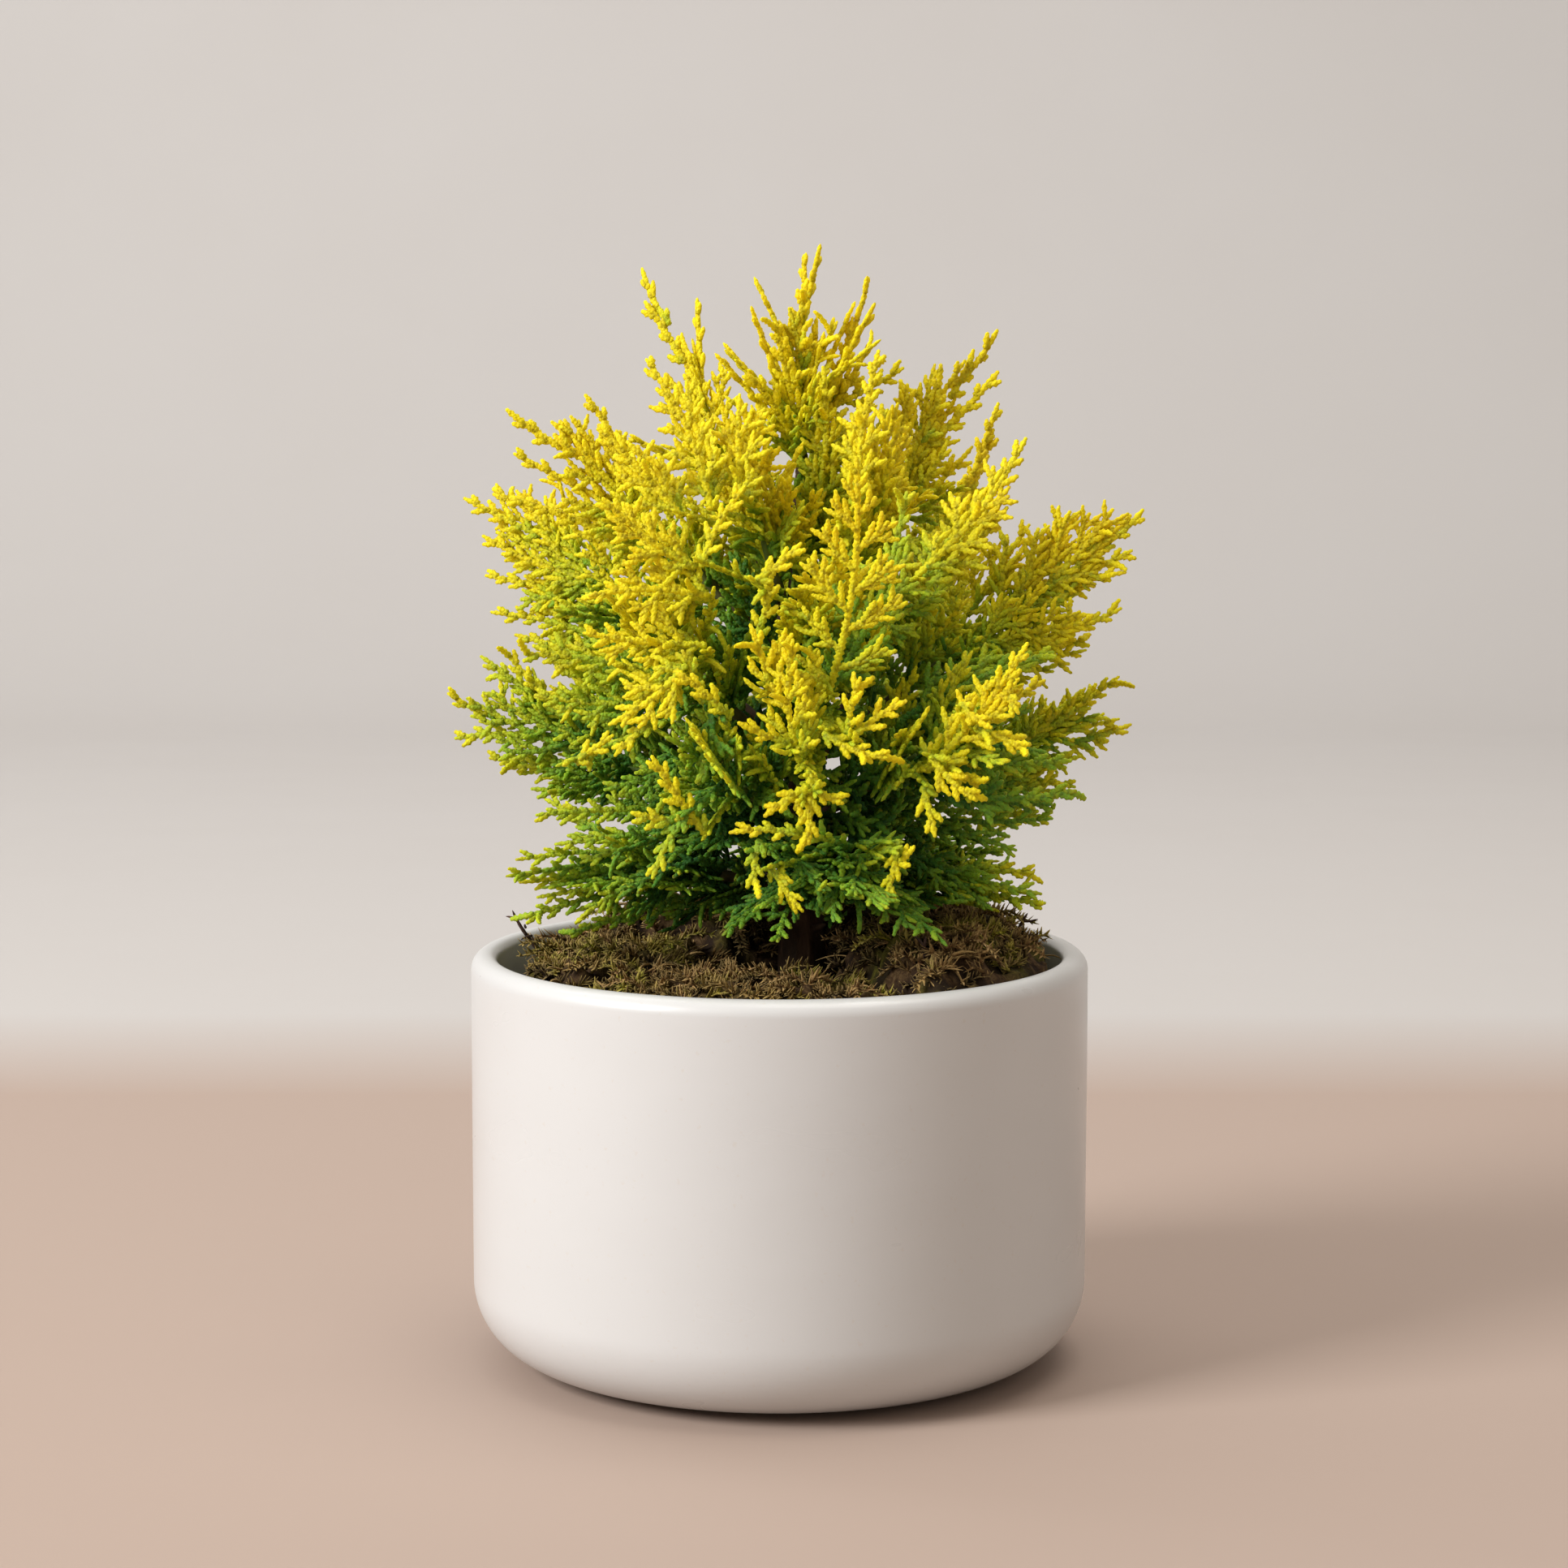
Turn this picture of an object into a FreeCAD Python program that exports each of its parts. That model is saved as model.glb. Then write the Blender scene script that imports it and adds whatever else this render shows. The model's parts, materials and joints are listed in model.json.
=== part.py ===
"""Artificial tabletop conifer in a round glazed pot, in millimetres.

The origin is the centre of the felt pad's underside, on the table, and +Z is up. The tree's front
faces -Y. The pot holds a cement ballast, a foam plug, a coir disc and moss
pads. A steel rod in a moulded bark sleeve makes the trunk. Each limb is a steel wire that stands in a
socket on the trunk, with moulded flat sprays on it, and it bends by hand at that socket.
"""

import FreeCAD, Part
import math
import os

# Pot: a straight-sided cylinder with a large round at its foot and a soft lip.
POT_R = 63.5
POT_TOP = 85.0
POT_WALL = 5.4
POT_FLOOR = 6.8
POT_FOOT_ROUND = 16.0
POT_INNER_ROUND = 11.0
POT_LIP_OUT = 3.2
POT_LIP_IN = 1.9

# What stands under and in the pot.
PAD_R = 45.0
PAD_THICK = 1.2
FIT_GAP = 0.3
BALLAST_THICK = 12.0
FOAM_TOP = 67.0
COIR_THICK = 7.0

# Trunk: a steel rod in a tapered bark sleeve, a little right of the pot's axis.
TRUNK_X = 4.5
ROD_R = 1.1
ROD_FOOT = 14.0
ROD_TOP = 172.0
BARK_FOOT = 46.0
BARK_TOP = 178.0
BARK_FOOT_R = 4.4
BARK_TOP_R = 2.2
BARK_TAPER_FROM = 84.0
FLARE_R = 6.4
FLARE_TALL = 9.0

# Limbs: a wire in a socket boss, a plastic sleeve on the wire, and flat sprays on the sleeve.
WIRE_R = 0.6
SOCKET_GAP = 0.1
SOCKET_DEEP = 1.6
BOSS_R = 1.7
BOSS_LONG = 1.6
SLEEVE_R = 1.25
SLEEVE_FROM = 3.0
SLEEVE_CAP = 0.5
SPRAY_THICK = 1.4

# How far a limb bends by hand about its socket, up and down. Limbs that rise steeply crowd together
# and bend less, and the lowest limbs bend down less, because the moss is close under them.
BEND_DEG = 7.0
CROWDED_BEND_DEG = 5.0
CROWDED_RISE = 55
LOW_BEND_DEG = 2.0
LOW_SOCKET = 100.0

# Sprays of a limb, as shares of its reach: where each starts on the wire, how it turns up (towards
# the trunk's top) and sideways, its length and half width, and the twist of its flat side about its
# own length. With no twist a spray stands upright, in the plane of its limb and the trunk.
FANS = {
    "upright": (
        (0.52, 3, 1, 0.48, 0.140, 10),
        (0.38, 19, 7, 0.44, 0.105, -8),
        (0.42, -20, -7, 0.40, 0.105, 8),
        (0.26, 15, -13, 0.34, 0.085, 14),
    ),
    "spread": (
        (0.52, 3, 0, 0.48, 0.145, 84),
        (0.34, 6, 24, 0.46, 0.115, 78),
        (0.40, 2, -26, 0.42, 0.115, 80),
        (0.24, 8, -33, 0.34, 0.090, 78),
    ),
    "facing": (
        (0.50, 12, 0, 0.50, 0.160, 88),
        (0.34, 2, 22, 0.44, 0.105, 84),
        (0.40, 2, -24, 0.42, 0.105, 84),
    ),
    "tilted": (
        (0.52, 3, 0, 0.48, 0.145, 44),
        (0.34, 9, 22, 0.44, 0.110, 48),
        (0.40, -10, -24, 0.40, 0.110, 48),
    ),
    "drooping": (
        (0.50, -15, 0, 0.50, 0.135, 80),
        (0.32, -8, 24, 0.48, 0.110, 80),
        (0.40, -9, -26, 0.42, 0.110, 80),
    ),
    "falling": (
        (0.50, -34, 0, 0.50, 0.135, 84),
        (0.32, -24, 26, 0.46, 0.110, 80),
        (0.40, -26, -28, 0.42, 0.110, 80),
    ),
    "leader": (
        (0.40, 0, 3, 0.60, 0.100, 84),
        (0.20, 6, 21, 0.74, 0.085, 76),
        (0.24, -15, -12, 0.66, 0.080, 80),
        (0.16, -22, -29, 0.58, 0.075, 84),
    ),
}

FANS["tilted_right"] = tuple(
    (start, up, -side, length, half_width, -twist)
    for start, up, side, length, half_width, twist in FANS["tilted"]
)

# Each limb: heading about the trunk, height of its socket, rise above level, reach to the tip of its
# end spray, and the pattern its sprays follow. Heading 0 is +X and -90 is the tree's front.
LIMBS = (
    (-74, 100, 17, 60, "falling"),
    (-154, 98, 11, 60, "drooping"),
    (-20, 99, 6, 52, "drooping"),
    (34, 98, 8, 58, "drooping"),
    (92, 98, 8, 62, "drooping"),
    (146, 98, 8, 60, "drooping"),
    (-112, 109, 22, 66, "tilted"),
    (-44, 111, 27, 70, "tilted_right"),
    (6, 110, 17, 72, "upright"),
    (60, 111, 28, 70, "spread"),
    (116, 111, 28, 70, "spread"),
    (178, 110, 20, 76, "upright"),
    (-80, 123, 43, 64, "facing"),
    (-140, 122, 36, 66, "tilted"),
    (-8, 123, 37, 87, "upright"),
    (38, 123, 46, 76, "upright"),
    (94, 124, 48, 74, "spread"),
    (162, 125, 38, 90, "upright"),
    (-40, 141, 59, 64, "facing"),
    (17, 143, 60, 83, "upright"),
    (144, 144, 64, 87, "upright"),
    (-175, 140, 47, 80, "upright"),
    (-121, 143, 62, 62, "facing"),
    (-90, 176, 88, 54, "leader"),
)

# Moss pads lie on the coir about a heap of coir at the trunk's foot. Each is a ring sector with a
# domed top: start and end heading, outer radius, and top height.
MOSS_PADS = {
    "moss_front": (-143, -62, 56, 84.0),
    "moss_left": (146, 216, 53, 86.0),
    "moss_right": (-61, 38, 56, 92.0),
    "moss_back": (39, 145, 56, 91.0),
}
MOSS_INNER = 16.0
MOSS_EDGE = 5.0
HEAP_R = 11.0
HEAP_TALL = 8.5

# Dry twigs in the moss: foot and tip of each, and its radius at the foot.
TWIG_TIP_SHARE = 0.6
TWIGS = (
    ((-46.0, 6.0, 81.0), (-55.5, 2.0, 92.5), 0.7),
    ((45.0, 12.0, 80.0), (52.0, 9.0, 91.0), 0.5),
    ((27.0, -33.0, 80.0), (29.0, -34.5, 93.0), 0.35),
)


def revolved(edges, sweep=360.0, start=0.0):
    """A solid from a closed outline of edges in the XZ plane, turned about Z."""
    face = Part.Face(Part.Wire(edges))
    solid = face.revolve(FreeCAD.Vector(0, 0, 0), FreeCAD.Vector(0, 0, 1), sweep)
    solid.rotate(FreeCAD.Vector(0, 0, 0), FreeCAD.Vector(0, 0, 1), start)
    return solid


def at(radius, height):
    return FreeCAD.Vector(radius, 0, height)


def line(a, b):
    return Part.LineSegment(a, b).toShape()


def round_corner(centre_r, centre_z, radius, from_deg, to_deg):
    """A quarter arc of the outline, given by its centre and its two directions."""

    def point(deg):
        a = math.radians(deg)
        return at(centre_r + radius * math.cos(a), centre_z + radius * math.sin(a))

    return Part.Arc(point(from_deg), point((from_deg + to_deg) / 2), point(to_deg)).toShape()


def pot():
    inner = POT_R - POT_WALL
    floor = PAD_THICK + POT_FLOOR
    foot_r = POT_R - POT_FOOT_ROUND
    floor_r = inner - POT_INNER_ROUND
    return revolved(
        [
            line(at(0, PAD_THICK), at(foot_r, PAD_THICK)),
            round_corner(foot_r, PAD_THICK + POT_FOOT_ROUND, POT_FOOT_ROUND, -90, 0),
            line(at(POT_R, PAD_THICK + POT_FOOT_ROUND), at(POT_R, POT_TOP - POT_LIP_OUT)),
            round_corner(POT_R - POT_LIP_OUT, POT_TOP - POT_LIP_OUT, POT_LIP_OUT, 0, 90),
            line(at(POT_R - POT_LIP_OUT, POT_TOP), at(inner + POT_LIP_IN, POT_TOP)),
            round_corner(inner + POT_LIP_IN, POT_TOP - POT_LIP_IN, POT_LIP_IN, 90, 180),
            line(at(inner, POT_TOP - POT_LIP_IN), at(inner, floor + POT_INNER_ROUND)),
            round_corner(floor_r, floor + POT_INNER_ROUND, POT_INNER_ROUND, 0, -90),
            line(at(floor_r, floor), at(0, floor)),
            line(at(0, floor), at(0, PAD_THICK)),
        ]
    )


def felt_pad():
    return Part.makeCylinder(PAD_R, PAD_THICK)


def ballast():
    """Cement poured in the pot about the foot of the trunk's rod."""
    low = PAD_THICK + POT_FLOOR
    top = low + BALLAST_THICK
    corner = POT_INNER_ROUND + FIT_GAP
    wide = POT_R - POT_WALL - FIT_GAP
    slab = revolved(
        [
            line(at(0, low), at(wide - corner, low)),
            round_corner(wide - corner, low + corner, corner, -90, 0),
            line(at(wide, low + corner), at(wide, top)),
            line(at(wide, top), at(0, top)),
            line(at(0, top), at(0, low)),
        ]
    )
    return slab.cut(rod_bore(ROD_FOOT, top))


def rod_bore(low, top):
    centre = FreeCAD.Vector(TRUNK_X, 0, low)
    return Part.makeCylinder(ROD_R, top - low, centre)


def foam_plug():
    low = PAD_THICK + POT_FLOOR + BALLAST_THICK
    wide = POT_R - POT_WALL - FIT_GAP
    block = Part.makeCylinder(wide, FOAM_TOP - low, FreeCAD.Vector(0, 0, low))
    return block.cut(rod_bore(low, BARK_FOOT)).cut(trunk_hole(BARK_FOOT, FOAM_TOP))


def coir_disc():
    """Coir over the foam, heaped about the trunk inside the moss pads."""
    wide = POT_R - POT_WALL - FIT_GAP
    top = FOAM_TOP + COIR_THICK
    disc = Part.makeCylinder(wide, COIR_THICK, FreeCAD.Vector(0, 0, FOAM_TOP))
    trunk_foot = FreeCAD.Vector(TRUNK_X, 0, top)
    heap = Part.makeCone(HEAP_R, FLARE_R + FIT_GAP, HEAP_TALL, trunk_foot)
    heap = heap.cut(Part.makeCylinder(FLARE_R + FIT_GAP, HEAP_TALL, trunk_foot))
    inside = Part.makeCylinder(MOSS_INNER - FIT_GAP, HEAP_TALL, FreeCAD.Vector(0, 0, top))
    disc = disc.fuse(heap.common(inside)).removeSplitter()
    return disc.cut(trunk_hole(FOAM_TOP, top))


def trunk_hole(low, top):
    centre = FreeCAD.Vector(TRUNK_X, 0, low)
    return Part.makeCylinder(BARK_FOOT_R, top - low, centre)


def moss_pad(start, end, outer, top):
    """A ring sector that stands on the coir, with a low edge all round and a domed top."""
    low = FOAM_TOP + COIR_THICK
    inner = MOSS_INNER
    middle = (inner + outer) / 2
    outline = [
        line(at(inner, low), at(outer, low)),
        line(at(outer, low), at(outer, low + MOSS_EDGE)),
        Part.Arc(at(outer, low + MOSS_EDGE), at(middle, top), at(inner, low + MOSS_EDGE)).toShape(),
        line(at(inner, low + MOSS_EDGE), at(inner, low)),
    ]
    return revolved(outline, end - start, start).cut(dry_twigs())


def dry_twigs():
    twigs = []
    for foot, tip, radius in TWIGS:
        start = FreeCAD.Vector(*foot)
        along = FreeCAD.Vector(*tip) - start
        twigs.append(Part.makeCone(radius, radius * TWIG_TIP_SHARE, along.Length, start, along))
    return Part.makeCompound(twigs)


def bark_radius(height):
    """The sleeve's outer radius at a height above the table."""
    share = max(0.0, (height - BARK_TAPER_FROM) / (BARK_TOP - BARK_TAPER_FROM))
    return BARK_FOOT_R + (BARK_TOP_R - BARK_FOOT_R) * min(1.0, share)


def trunk_rod():
    return Part.makeCylinder(ROD_R, ROD_TOP - ROD_FOOT, FreeCAD.Vector(TRUNK_X, 0, ROD_FOOT))


def trunk_bark(limbs):
    """The moulded sleeve: a straight foot, a root flare, a long taper, and a socket for each limb."""
    foot = Part.makeCylinder(BARK_FOOT_R, BARK_TAPER_FROM - BARK_FOOT, FreeCAD.Vector(TRUNK_X, 0, BARK_FOOT))
    flare_low = FOAM_TOP + COIR_THICK
    flare = Part.makeCone(FLARE_R, BARK_FOOT_R, FLARE_TALL, FreeCAD.Vector(TRUNK_X, 0, flare_low))
    taper = Part.makeCone(
        BARK_FOOT_R, BARK_TOP_R, BARK_TOP - BARK_TAPER_FROM, FreeCAD.Vector(TRUNK_X, 0, BARK_TAPER_FROM)
    )
    bark = foot.fuse(flare).fuse(taper)
    for limb in limbs:
        long = limb.skin + BOSS_LONG
        bark = bark.fuse(Part.makeCylinder(BOSS_R, long, limb.axis_point, limb.along))
    bark = bark.cut(rod_bore(BARK_FOOT, ROD_TOP))
    for limb in limbs:
        low = limb.skin - SOCKET_DEEP
        start = limb.axis_point + limb.along * low
        socket = Part.makeCylinder(WIRE_R + SOCKET_GAP, SOCKET_DEEP + BOSS_LONG, start, limb.along)
        bark = bark.cut(socket)
    return bark.removeSplitter()


class Limb:
    """One limb's directions and places. skin is how far from the trunk's axis its socket starts."""

    def __init__(self, number, heading, height, rise, reach, pattern):
        self.fans = FANS[pattern]
        self.reach = reach
        self.lift_deg = CROWDED_BEND_DEG if rise > CROWDED_RISE else BEND_DEG
        self.drop_deg = LOW_BEND_DEG if height <= LOW_SOCKET else self.lift_deg
        a, e = math.radians(heading), math.radians(rise)
        self.along = FreeCAD.Vector(math.cos(e) * math.cos(a), math.cos(e) * math.sin(a), math.sin(e))
        self.side = FreeCAD.Vector(-math.sin(a), math.cos(a), 0)
        self.up = self.along.cross(self.side)
        self.axis_point = FreeCAD.Vector(TRUNK_X, 0, height)
        self.name = "leader" if pattern == "leader" else f"limb_{number:02d}"
        level = math.cos(e)
        self.skin = BARK_TOP - height if pattern == "leader" else bark_radius(height) / level
        self.sleeve_start = self.skin + (SLEEVE_FROM if pattern == "leader" else SLEEVE_FROM / level)
        self.socket = self.axis_point + self.along * self.skin
        self.sleeve_end = max(fan[0] for fan in self.fans) * reach
        self.wire_end = self.sleeve_end - SLEEVE_CAP

    def wire(self):
        low = self.skin - SOCKET_DEEP + SOCKET_GAP
        start = self.axis_point + self.along * low
        return Part.makeCylinder(WIRE_R, self.wire_end - low, start, self.along)

    def sleeve(self):
        low = self.sleeve_start
        start = self.axis_point + self.along * low
        tube = Part.makeCylinder(SLEEVE_R, self.sleeve_end - low, start, self.along)
        bore = Part.makeCylinder(WIRE_R, self.wire_end - low, start, self.along)
        return tube.cut(bore)

    def fan(self, start, up_deg, side_deg, length, half_width, twist_deg):
        """One flat spray: a pointed oval plate that starts on the sleeve."""
        up, side, twist = (math.radians(x) for x in (up_deg, side_deg, twist_deg))
        forward = self.along * (math.cos(up) * math.cos(side))
        forward = forward + self.up * math.sin(up) + self.side * (math.cos(up) * math.sin(side))
        forward.normalize()
        across = self.up - forward * self.up.dot(forward)
        across.normalize()
        flat = forward.cross(across)
        wide = across * math.cos(twist) + flat * math.sin(twist)
        thick = forward.cross(wide)
        root = self.axis_point + self.along * (start * self.reach)
        tip = root + forward * (length * self.reach)
        middle = (root + tip) * 0.5
        bulge = wide * (half_width * self.reach)
        outline = [
            Part.Arc(root, middle + bulge, tip).toShape(),
            Part.Arc(tip, middle - bulge, root).toShape(),
        ]
        face = Part.Face(Part.Wire(outline))
        face.translate(thick * (-SPRAY_THICK / 2))
        return face.extrude(thick * SPRAY_THICK)

    def sprays(self):
        """The sleeve and the flat sprays, each a moulding of its own, meeting face to face."""
        low = self.sleeve_start
        start = self.axis_point + self.along * low
        solid_sleeve = Part.makeCylinder(SLEEVE_R, self.sleeve_end - low, start, self.along)
        pieces = [self.sleeve()]
        for fan in self.fans:
            plate = self.fan(*fan).cut([solid_sleeve] + pieces[1:])
            pieces.append(max(plate.Solids, key=lambda s: s.Volume))
        return Part.makeCompound(pieces)

    def hinge_axis(self):
        """A positive turn about this axis lifts the limb."""
        return self.side * -1


def make_limbs():
    return [Limb(number, *row) for number, row in enumerate(LIMBS, 1)]


def nodes():
    """Every piece by its name."""
    limbs = make_limbs()
    made = {
        "pot": pot(),
        "felt_pad": felt_pad(),
        "cement_ballast": ballast(),
        "foam_plug": foam_plug(),
        "coir_disc": coir_disc(),
        "dry_twigs": dry_twigs(),
        "trunk_rod": trunk_rod(),
        "trunk_bark": trunk_bark(limbs),
    }
    for name, row in MOSS_PADS.items():
        made[name] = moss_pad(*row)
    for limb in limbs:
        made[limb.name + "_wire"] = limb.wire()
        made[limb.name + "_sprays"] = limb.sprays()
    return made


def main():
    os.makedirs("parts", exist_ok=True)
    for name, shape in nodes().items():
        shape.exportStep(f"parts/{name}.step")
        print(name, len(shape.Solids), "solids", round(shape.Volume / 1000, 2), "cm3", shape.isValid())


if __name__ == "__main__":
    main()
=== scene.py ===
import json
import math

import bmesh
import bpy
import numpy as np
from mathutils import Matrix, Vector, noise


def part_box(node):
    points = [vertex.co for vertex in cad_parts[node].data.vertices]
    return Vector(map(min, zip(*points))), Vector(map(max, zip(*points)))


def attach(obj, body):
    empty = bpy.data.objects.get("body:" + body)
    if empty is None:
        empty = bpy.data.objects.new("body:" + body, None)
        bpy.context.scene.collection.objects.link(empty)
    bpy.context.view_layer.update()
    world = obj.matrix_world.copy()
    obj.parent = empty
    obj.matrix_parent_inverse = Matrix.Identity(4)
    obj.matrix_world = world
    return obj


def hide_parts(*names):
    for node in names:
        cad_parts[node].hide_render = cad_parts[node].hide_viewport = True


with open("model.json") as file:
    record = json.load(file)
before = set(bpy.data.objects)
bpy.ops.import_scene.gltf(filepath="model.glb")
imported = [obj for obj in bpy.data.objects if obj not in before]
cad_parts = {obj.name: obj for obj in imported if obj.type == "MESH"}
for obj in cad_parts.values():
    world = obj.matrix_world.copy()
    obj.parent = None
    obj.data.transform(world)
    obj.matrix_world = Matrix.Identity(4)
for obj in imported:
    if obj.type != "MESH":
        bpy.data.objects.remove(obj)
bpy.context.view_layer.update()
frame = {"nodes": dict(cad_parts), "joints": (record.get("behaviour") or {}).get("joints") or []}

MM = 0.001
BASE_BODY = "pot_and_trunk"
Z_AXIS = np.array([0.0, 0.0, 1.0])
GOLDEN_ANGLE = 137.5
# The colour of a bark tube: age 0 at its foot, and a tone and gold that bark doesn't use.
PLAIN = (0, 0.5, 0.5, 1)


# ---------------------------------------------------------------- small helpers


def unit(v):
    v = np.asarray(v, float)
    return v / (np.linalg.norm(v, axis=-1, keepdims=True) + 1e-12)


def clamped(x):
    return min(1.0, max(0.0, x))


def rotated(vector, axis, degrees):
    return np.array(Matrix.Rotation(math.radians(degrees), 3, Vector(axis)) @ Vector(vector))


def square_to(along, face, roll):
    """The direction nearest to face that is square to along, turned about along by roll degrees."""
    return rotated(unit(np.cross(along, np.cross(face, along))), along, roll)


def polar(radius, angle):
    return radius * math.cos(angle), radius * math.sin(angle)


def wave(x, y, z):
    """Smooth noise, from about -1 to 1."""
    return noise.noise(Vector((x, y, z)))


def noise_at(x, y, z, scale):
    return wave(x * scale, y * scale, z * scale)


def linked(name, data):
    """An object with the data, in the scene."""
    obj = bpy.data.objects.new(name, data)
    bpy.context.scene.collection.objects.link(obj)
    return obj


def mesh_object(name, verts, faces):
    """A smooth mesh object from lists of corners and faces."""
    mesh = bpy.data.meshes.new(name)
    mesh.from_pydata([tuple(v) for v in verts], [], [tuple(f) for f in faces])
    mesh.update()
    mesh.polygons.foreach_set("use_smooth", [True] * len(mesh.polygons))
    return linked(name, mesh)


def fast_mesh(name, verts, quads, tris, colors):
    """A smooth mesh object from numpy arrays, with the colours in the attribute named leaf."""
    mesh = bpy.data.meshes.new(name)
    loops = np.concatenate([quads.ravel(), tris.ravel()]).astype(np.int32)
    starts = np.concatenate([np.arange(len(quads)) * 4, len(quads) * 4 + np.arange(len(tris)) * 3])
    mesh.vertices.add(len(verts))
    mesh.vertices.foreach_set("co", np.asarray(verts, np.float32).ravel())
    mesh.loops.add(len(loops))
    mesh.loops.foreach_set("vertex_index", loops)
    mesh.polygons.add(len(starts))
    mesh.polygons.foreach_set("loop_start", starts.astype(np.int32))
    mesh.polygons.foreach_set("use_smooth", np.ones(len(starts), bool))
    mesh.update(calc_edges=True)
    mesh.validate()
    layer = mesh.color_attributes.new("leaf", "FLOAT_COLOR", "POINT")
    layer.data.foreach_set("color", np.asarray(colors, np.float32).ravel())
    return linked(name, mesh)


def grid(rows, columns, first=0, closed=True):
    """Quads between the rows of a grid of corners; a closed grid joins each row's end to its start."""
    faces = []
    for i in range(rows):
        a, b = first + i * columns, first + (i + 1) * columns
        for j in range(columns if closed else columns - 1):
            k = (j + 1) % columns
            faces.append((a + j, a + k, b + k, b + j))
    return faces


class Tubes:
    """Collects many tapered tubes and turns them into one mesh.

    Each tube is a quadratic curve with an oval section. Its rings come in pairs that swell and step
    back, which makes overlapping scales where scale is above zero. Blunt tubes are a little narrower
    at the foot and round at the end; pebbled tubes have every corner nudged in or out a little.
    """

    def __init__(self, sides=6, blunt=False, pebbled=0.0):
        self.sides, self.blunt, self.pebbled = sides, blunt, pebbled
        self.rows = []

    def add(self, p0, p1, p2, normal, width, thick, rings, scale, taper, color):
        self.rows.append((p0, p1, p2, normal, width, thick, rings, scale, taper, color))

    def rod(self, start, end, nudge, width, rings, scale, taper, color, flat=1.0):
        """A tube from start to end, bent by a nudge at its middle, its height a share of its width."""
        middle, thick = (start + end) / 2 + nudge, width * flat
        self.add(start, middle, end, Z_AXIS, width, thick, rings, scale, taper, color)

    def profile(self, s, rings, taper):
        """The share of its full width that a tube has at each ring."""
        last = np.arange(rings) == rings - 1
        if not self.blunt:
            return (1 - taper * s**2) * np.where(last, 0.45, 1.0)
        foot = 0.92 + 0.08 * np.clip(s / 0.3, 0, 1)
        return foot * (1 - taper * s**2) * np.where(last, 0.64, 1.0)

    def build(self):
        """Vertices, quads, triangles and colours. Colour's first channel runs from root to tip."""
        rng = np.random.RandomState(17)
        verts, quads, tris, cols = [], [], [], []
        offset = 0
        by_rings = {}
        for row in self.rows:
            by_rings.setdefault(row[6], []).append(row)
        n = self.sides
        turn = np.arange(n) * 2 * math.pi / n
        for rings, rows in sorted(by_rings.items()):
            p0, p1, p2, normal = (np.array([r[k] for r in rows], float)[:, None, :] for k in range(4))
            width, thick, scale, taper = (
                np.array([r[k] for r in rows], float)[:, None] for k in (4, 5, 7, 8)
            )
            color = np.array([r[9] for r in rows], float)
            count = len(rows)
            t = np.linspace(0, 1, rings)[None, :, None]
            at = (1 - t) ** 2 * p0 + 2 * t * (1 - t) * p1 + t**2 * p2
            along = unit(2 * (1 - t) * (p1 - p0) + 2 * t * (p2 - p1) + 1e-9)
            side = unit(np.cross(normal + 0 * along, along))
            out = unit(np.cross(along, side))
            step = np.where(np.arange(rings) % 2 == 0, -0.5, 0.5)[None, :]
            profile = self.profile(t[:, :, 0], rings, taper)
            wide = width * profile * (1 + scale * step)
            deep = thick * profile * (1 - 0.7 * scale * step)
            nudge = 1 + self.pebbled * rng.uniform(-1, 1, (count, rings, n))
            ring = (
                at[:, :, None, :]
                + side[:, :, None, :] * (wide[:, :, None] * nudge * np.cos(turn))[..., None]
                + out[:, :, None, :] * (deep[:, :, None] * nudge * np.sin(turn))[..., None]
            )
            end = at[:, -1] + along[:, -1] * (width * 0.4)
            start = at[:, 0]
            ring = ring.reshape(count, rings * n, 3)
            block = np.concatenate([ring, end[:, None], start[:, None]], axis=1)
            size = rings * n + 2
            base = offset + np.arange(count)[:, None, None] * size
            r = np.arange(rings - 1)[:, None] * n
            k = np.arange(n)[None, :]
            k2 = (k + 1) % n
            quad = np.stack([r + k, r + k2, r + n + k2, r + n + k], axis=-1).reshape(1, -1, 4)
            quads.append((quad + base).reshape(-1, 4))
            last = (rings - 1) * n
            kk = np.arange(n)
            cap = np.stack([last + kk, last + (kk + 1) % n, np.full(n, rings * n)], axis=-1)
            root = np.stack([(kk + 1) % n, kk, np.full(n, rings * n + 1)], axis=-1)
            fan = np.concatenate([cap, root])[None]
            tris.append((fan + base).reshape(-1, 3))
            verts.append(block.reshape(-1, 3))
            age = np.concatenate([np.repeat(np.linspace(0, 1, rings), n), [1.0, 0.0]])
            c = np.repeat(color[:, None, :], size, axis=1)
            c[:, :, 0] = c[:, :, 0] + age[None] * (1 - c[:, :, 0])
            cols.append(c.reshape(-1, 4))
            offset += count * size
        return np.concatenate(verts), np.concatenate(quads), np.concatenate(tris), np.concatenate(cols)

    def joined(self, name, verts, faces, colors):
        """One mesh object of a surface and the tubes on it."""
        tube_verts, quads, tris, tube_colors = self.build()
        base = len(verts)
        quads = np.concatenate([np.array(faces), quads + base])
        verts, colors = np.concatenate([verts, tube_verts]), np.concatenate([colors, tube_colors])
        return fast_mesh(name, verts, quads, tris + base, colors)


# ---------------------------------------------------------------- materials


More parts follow.
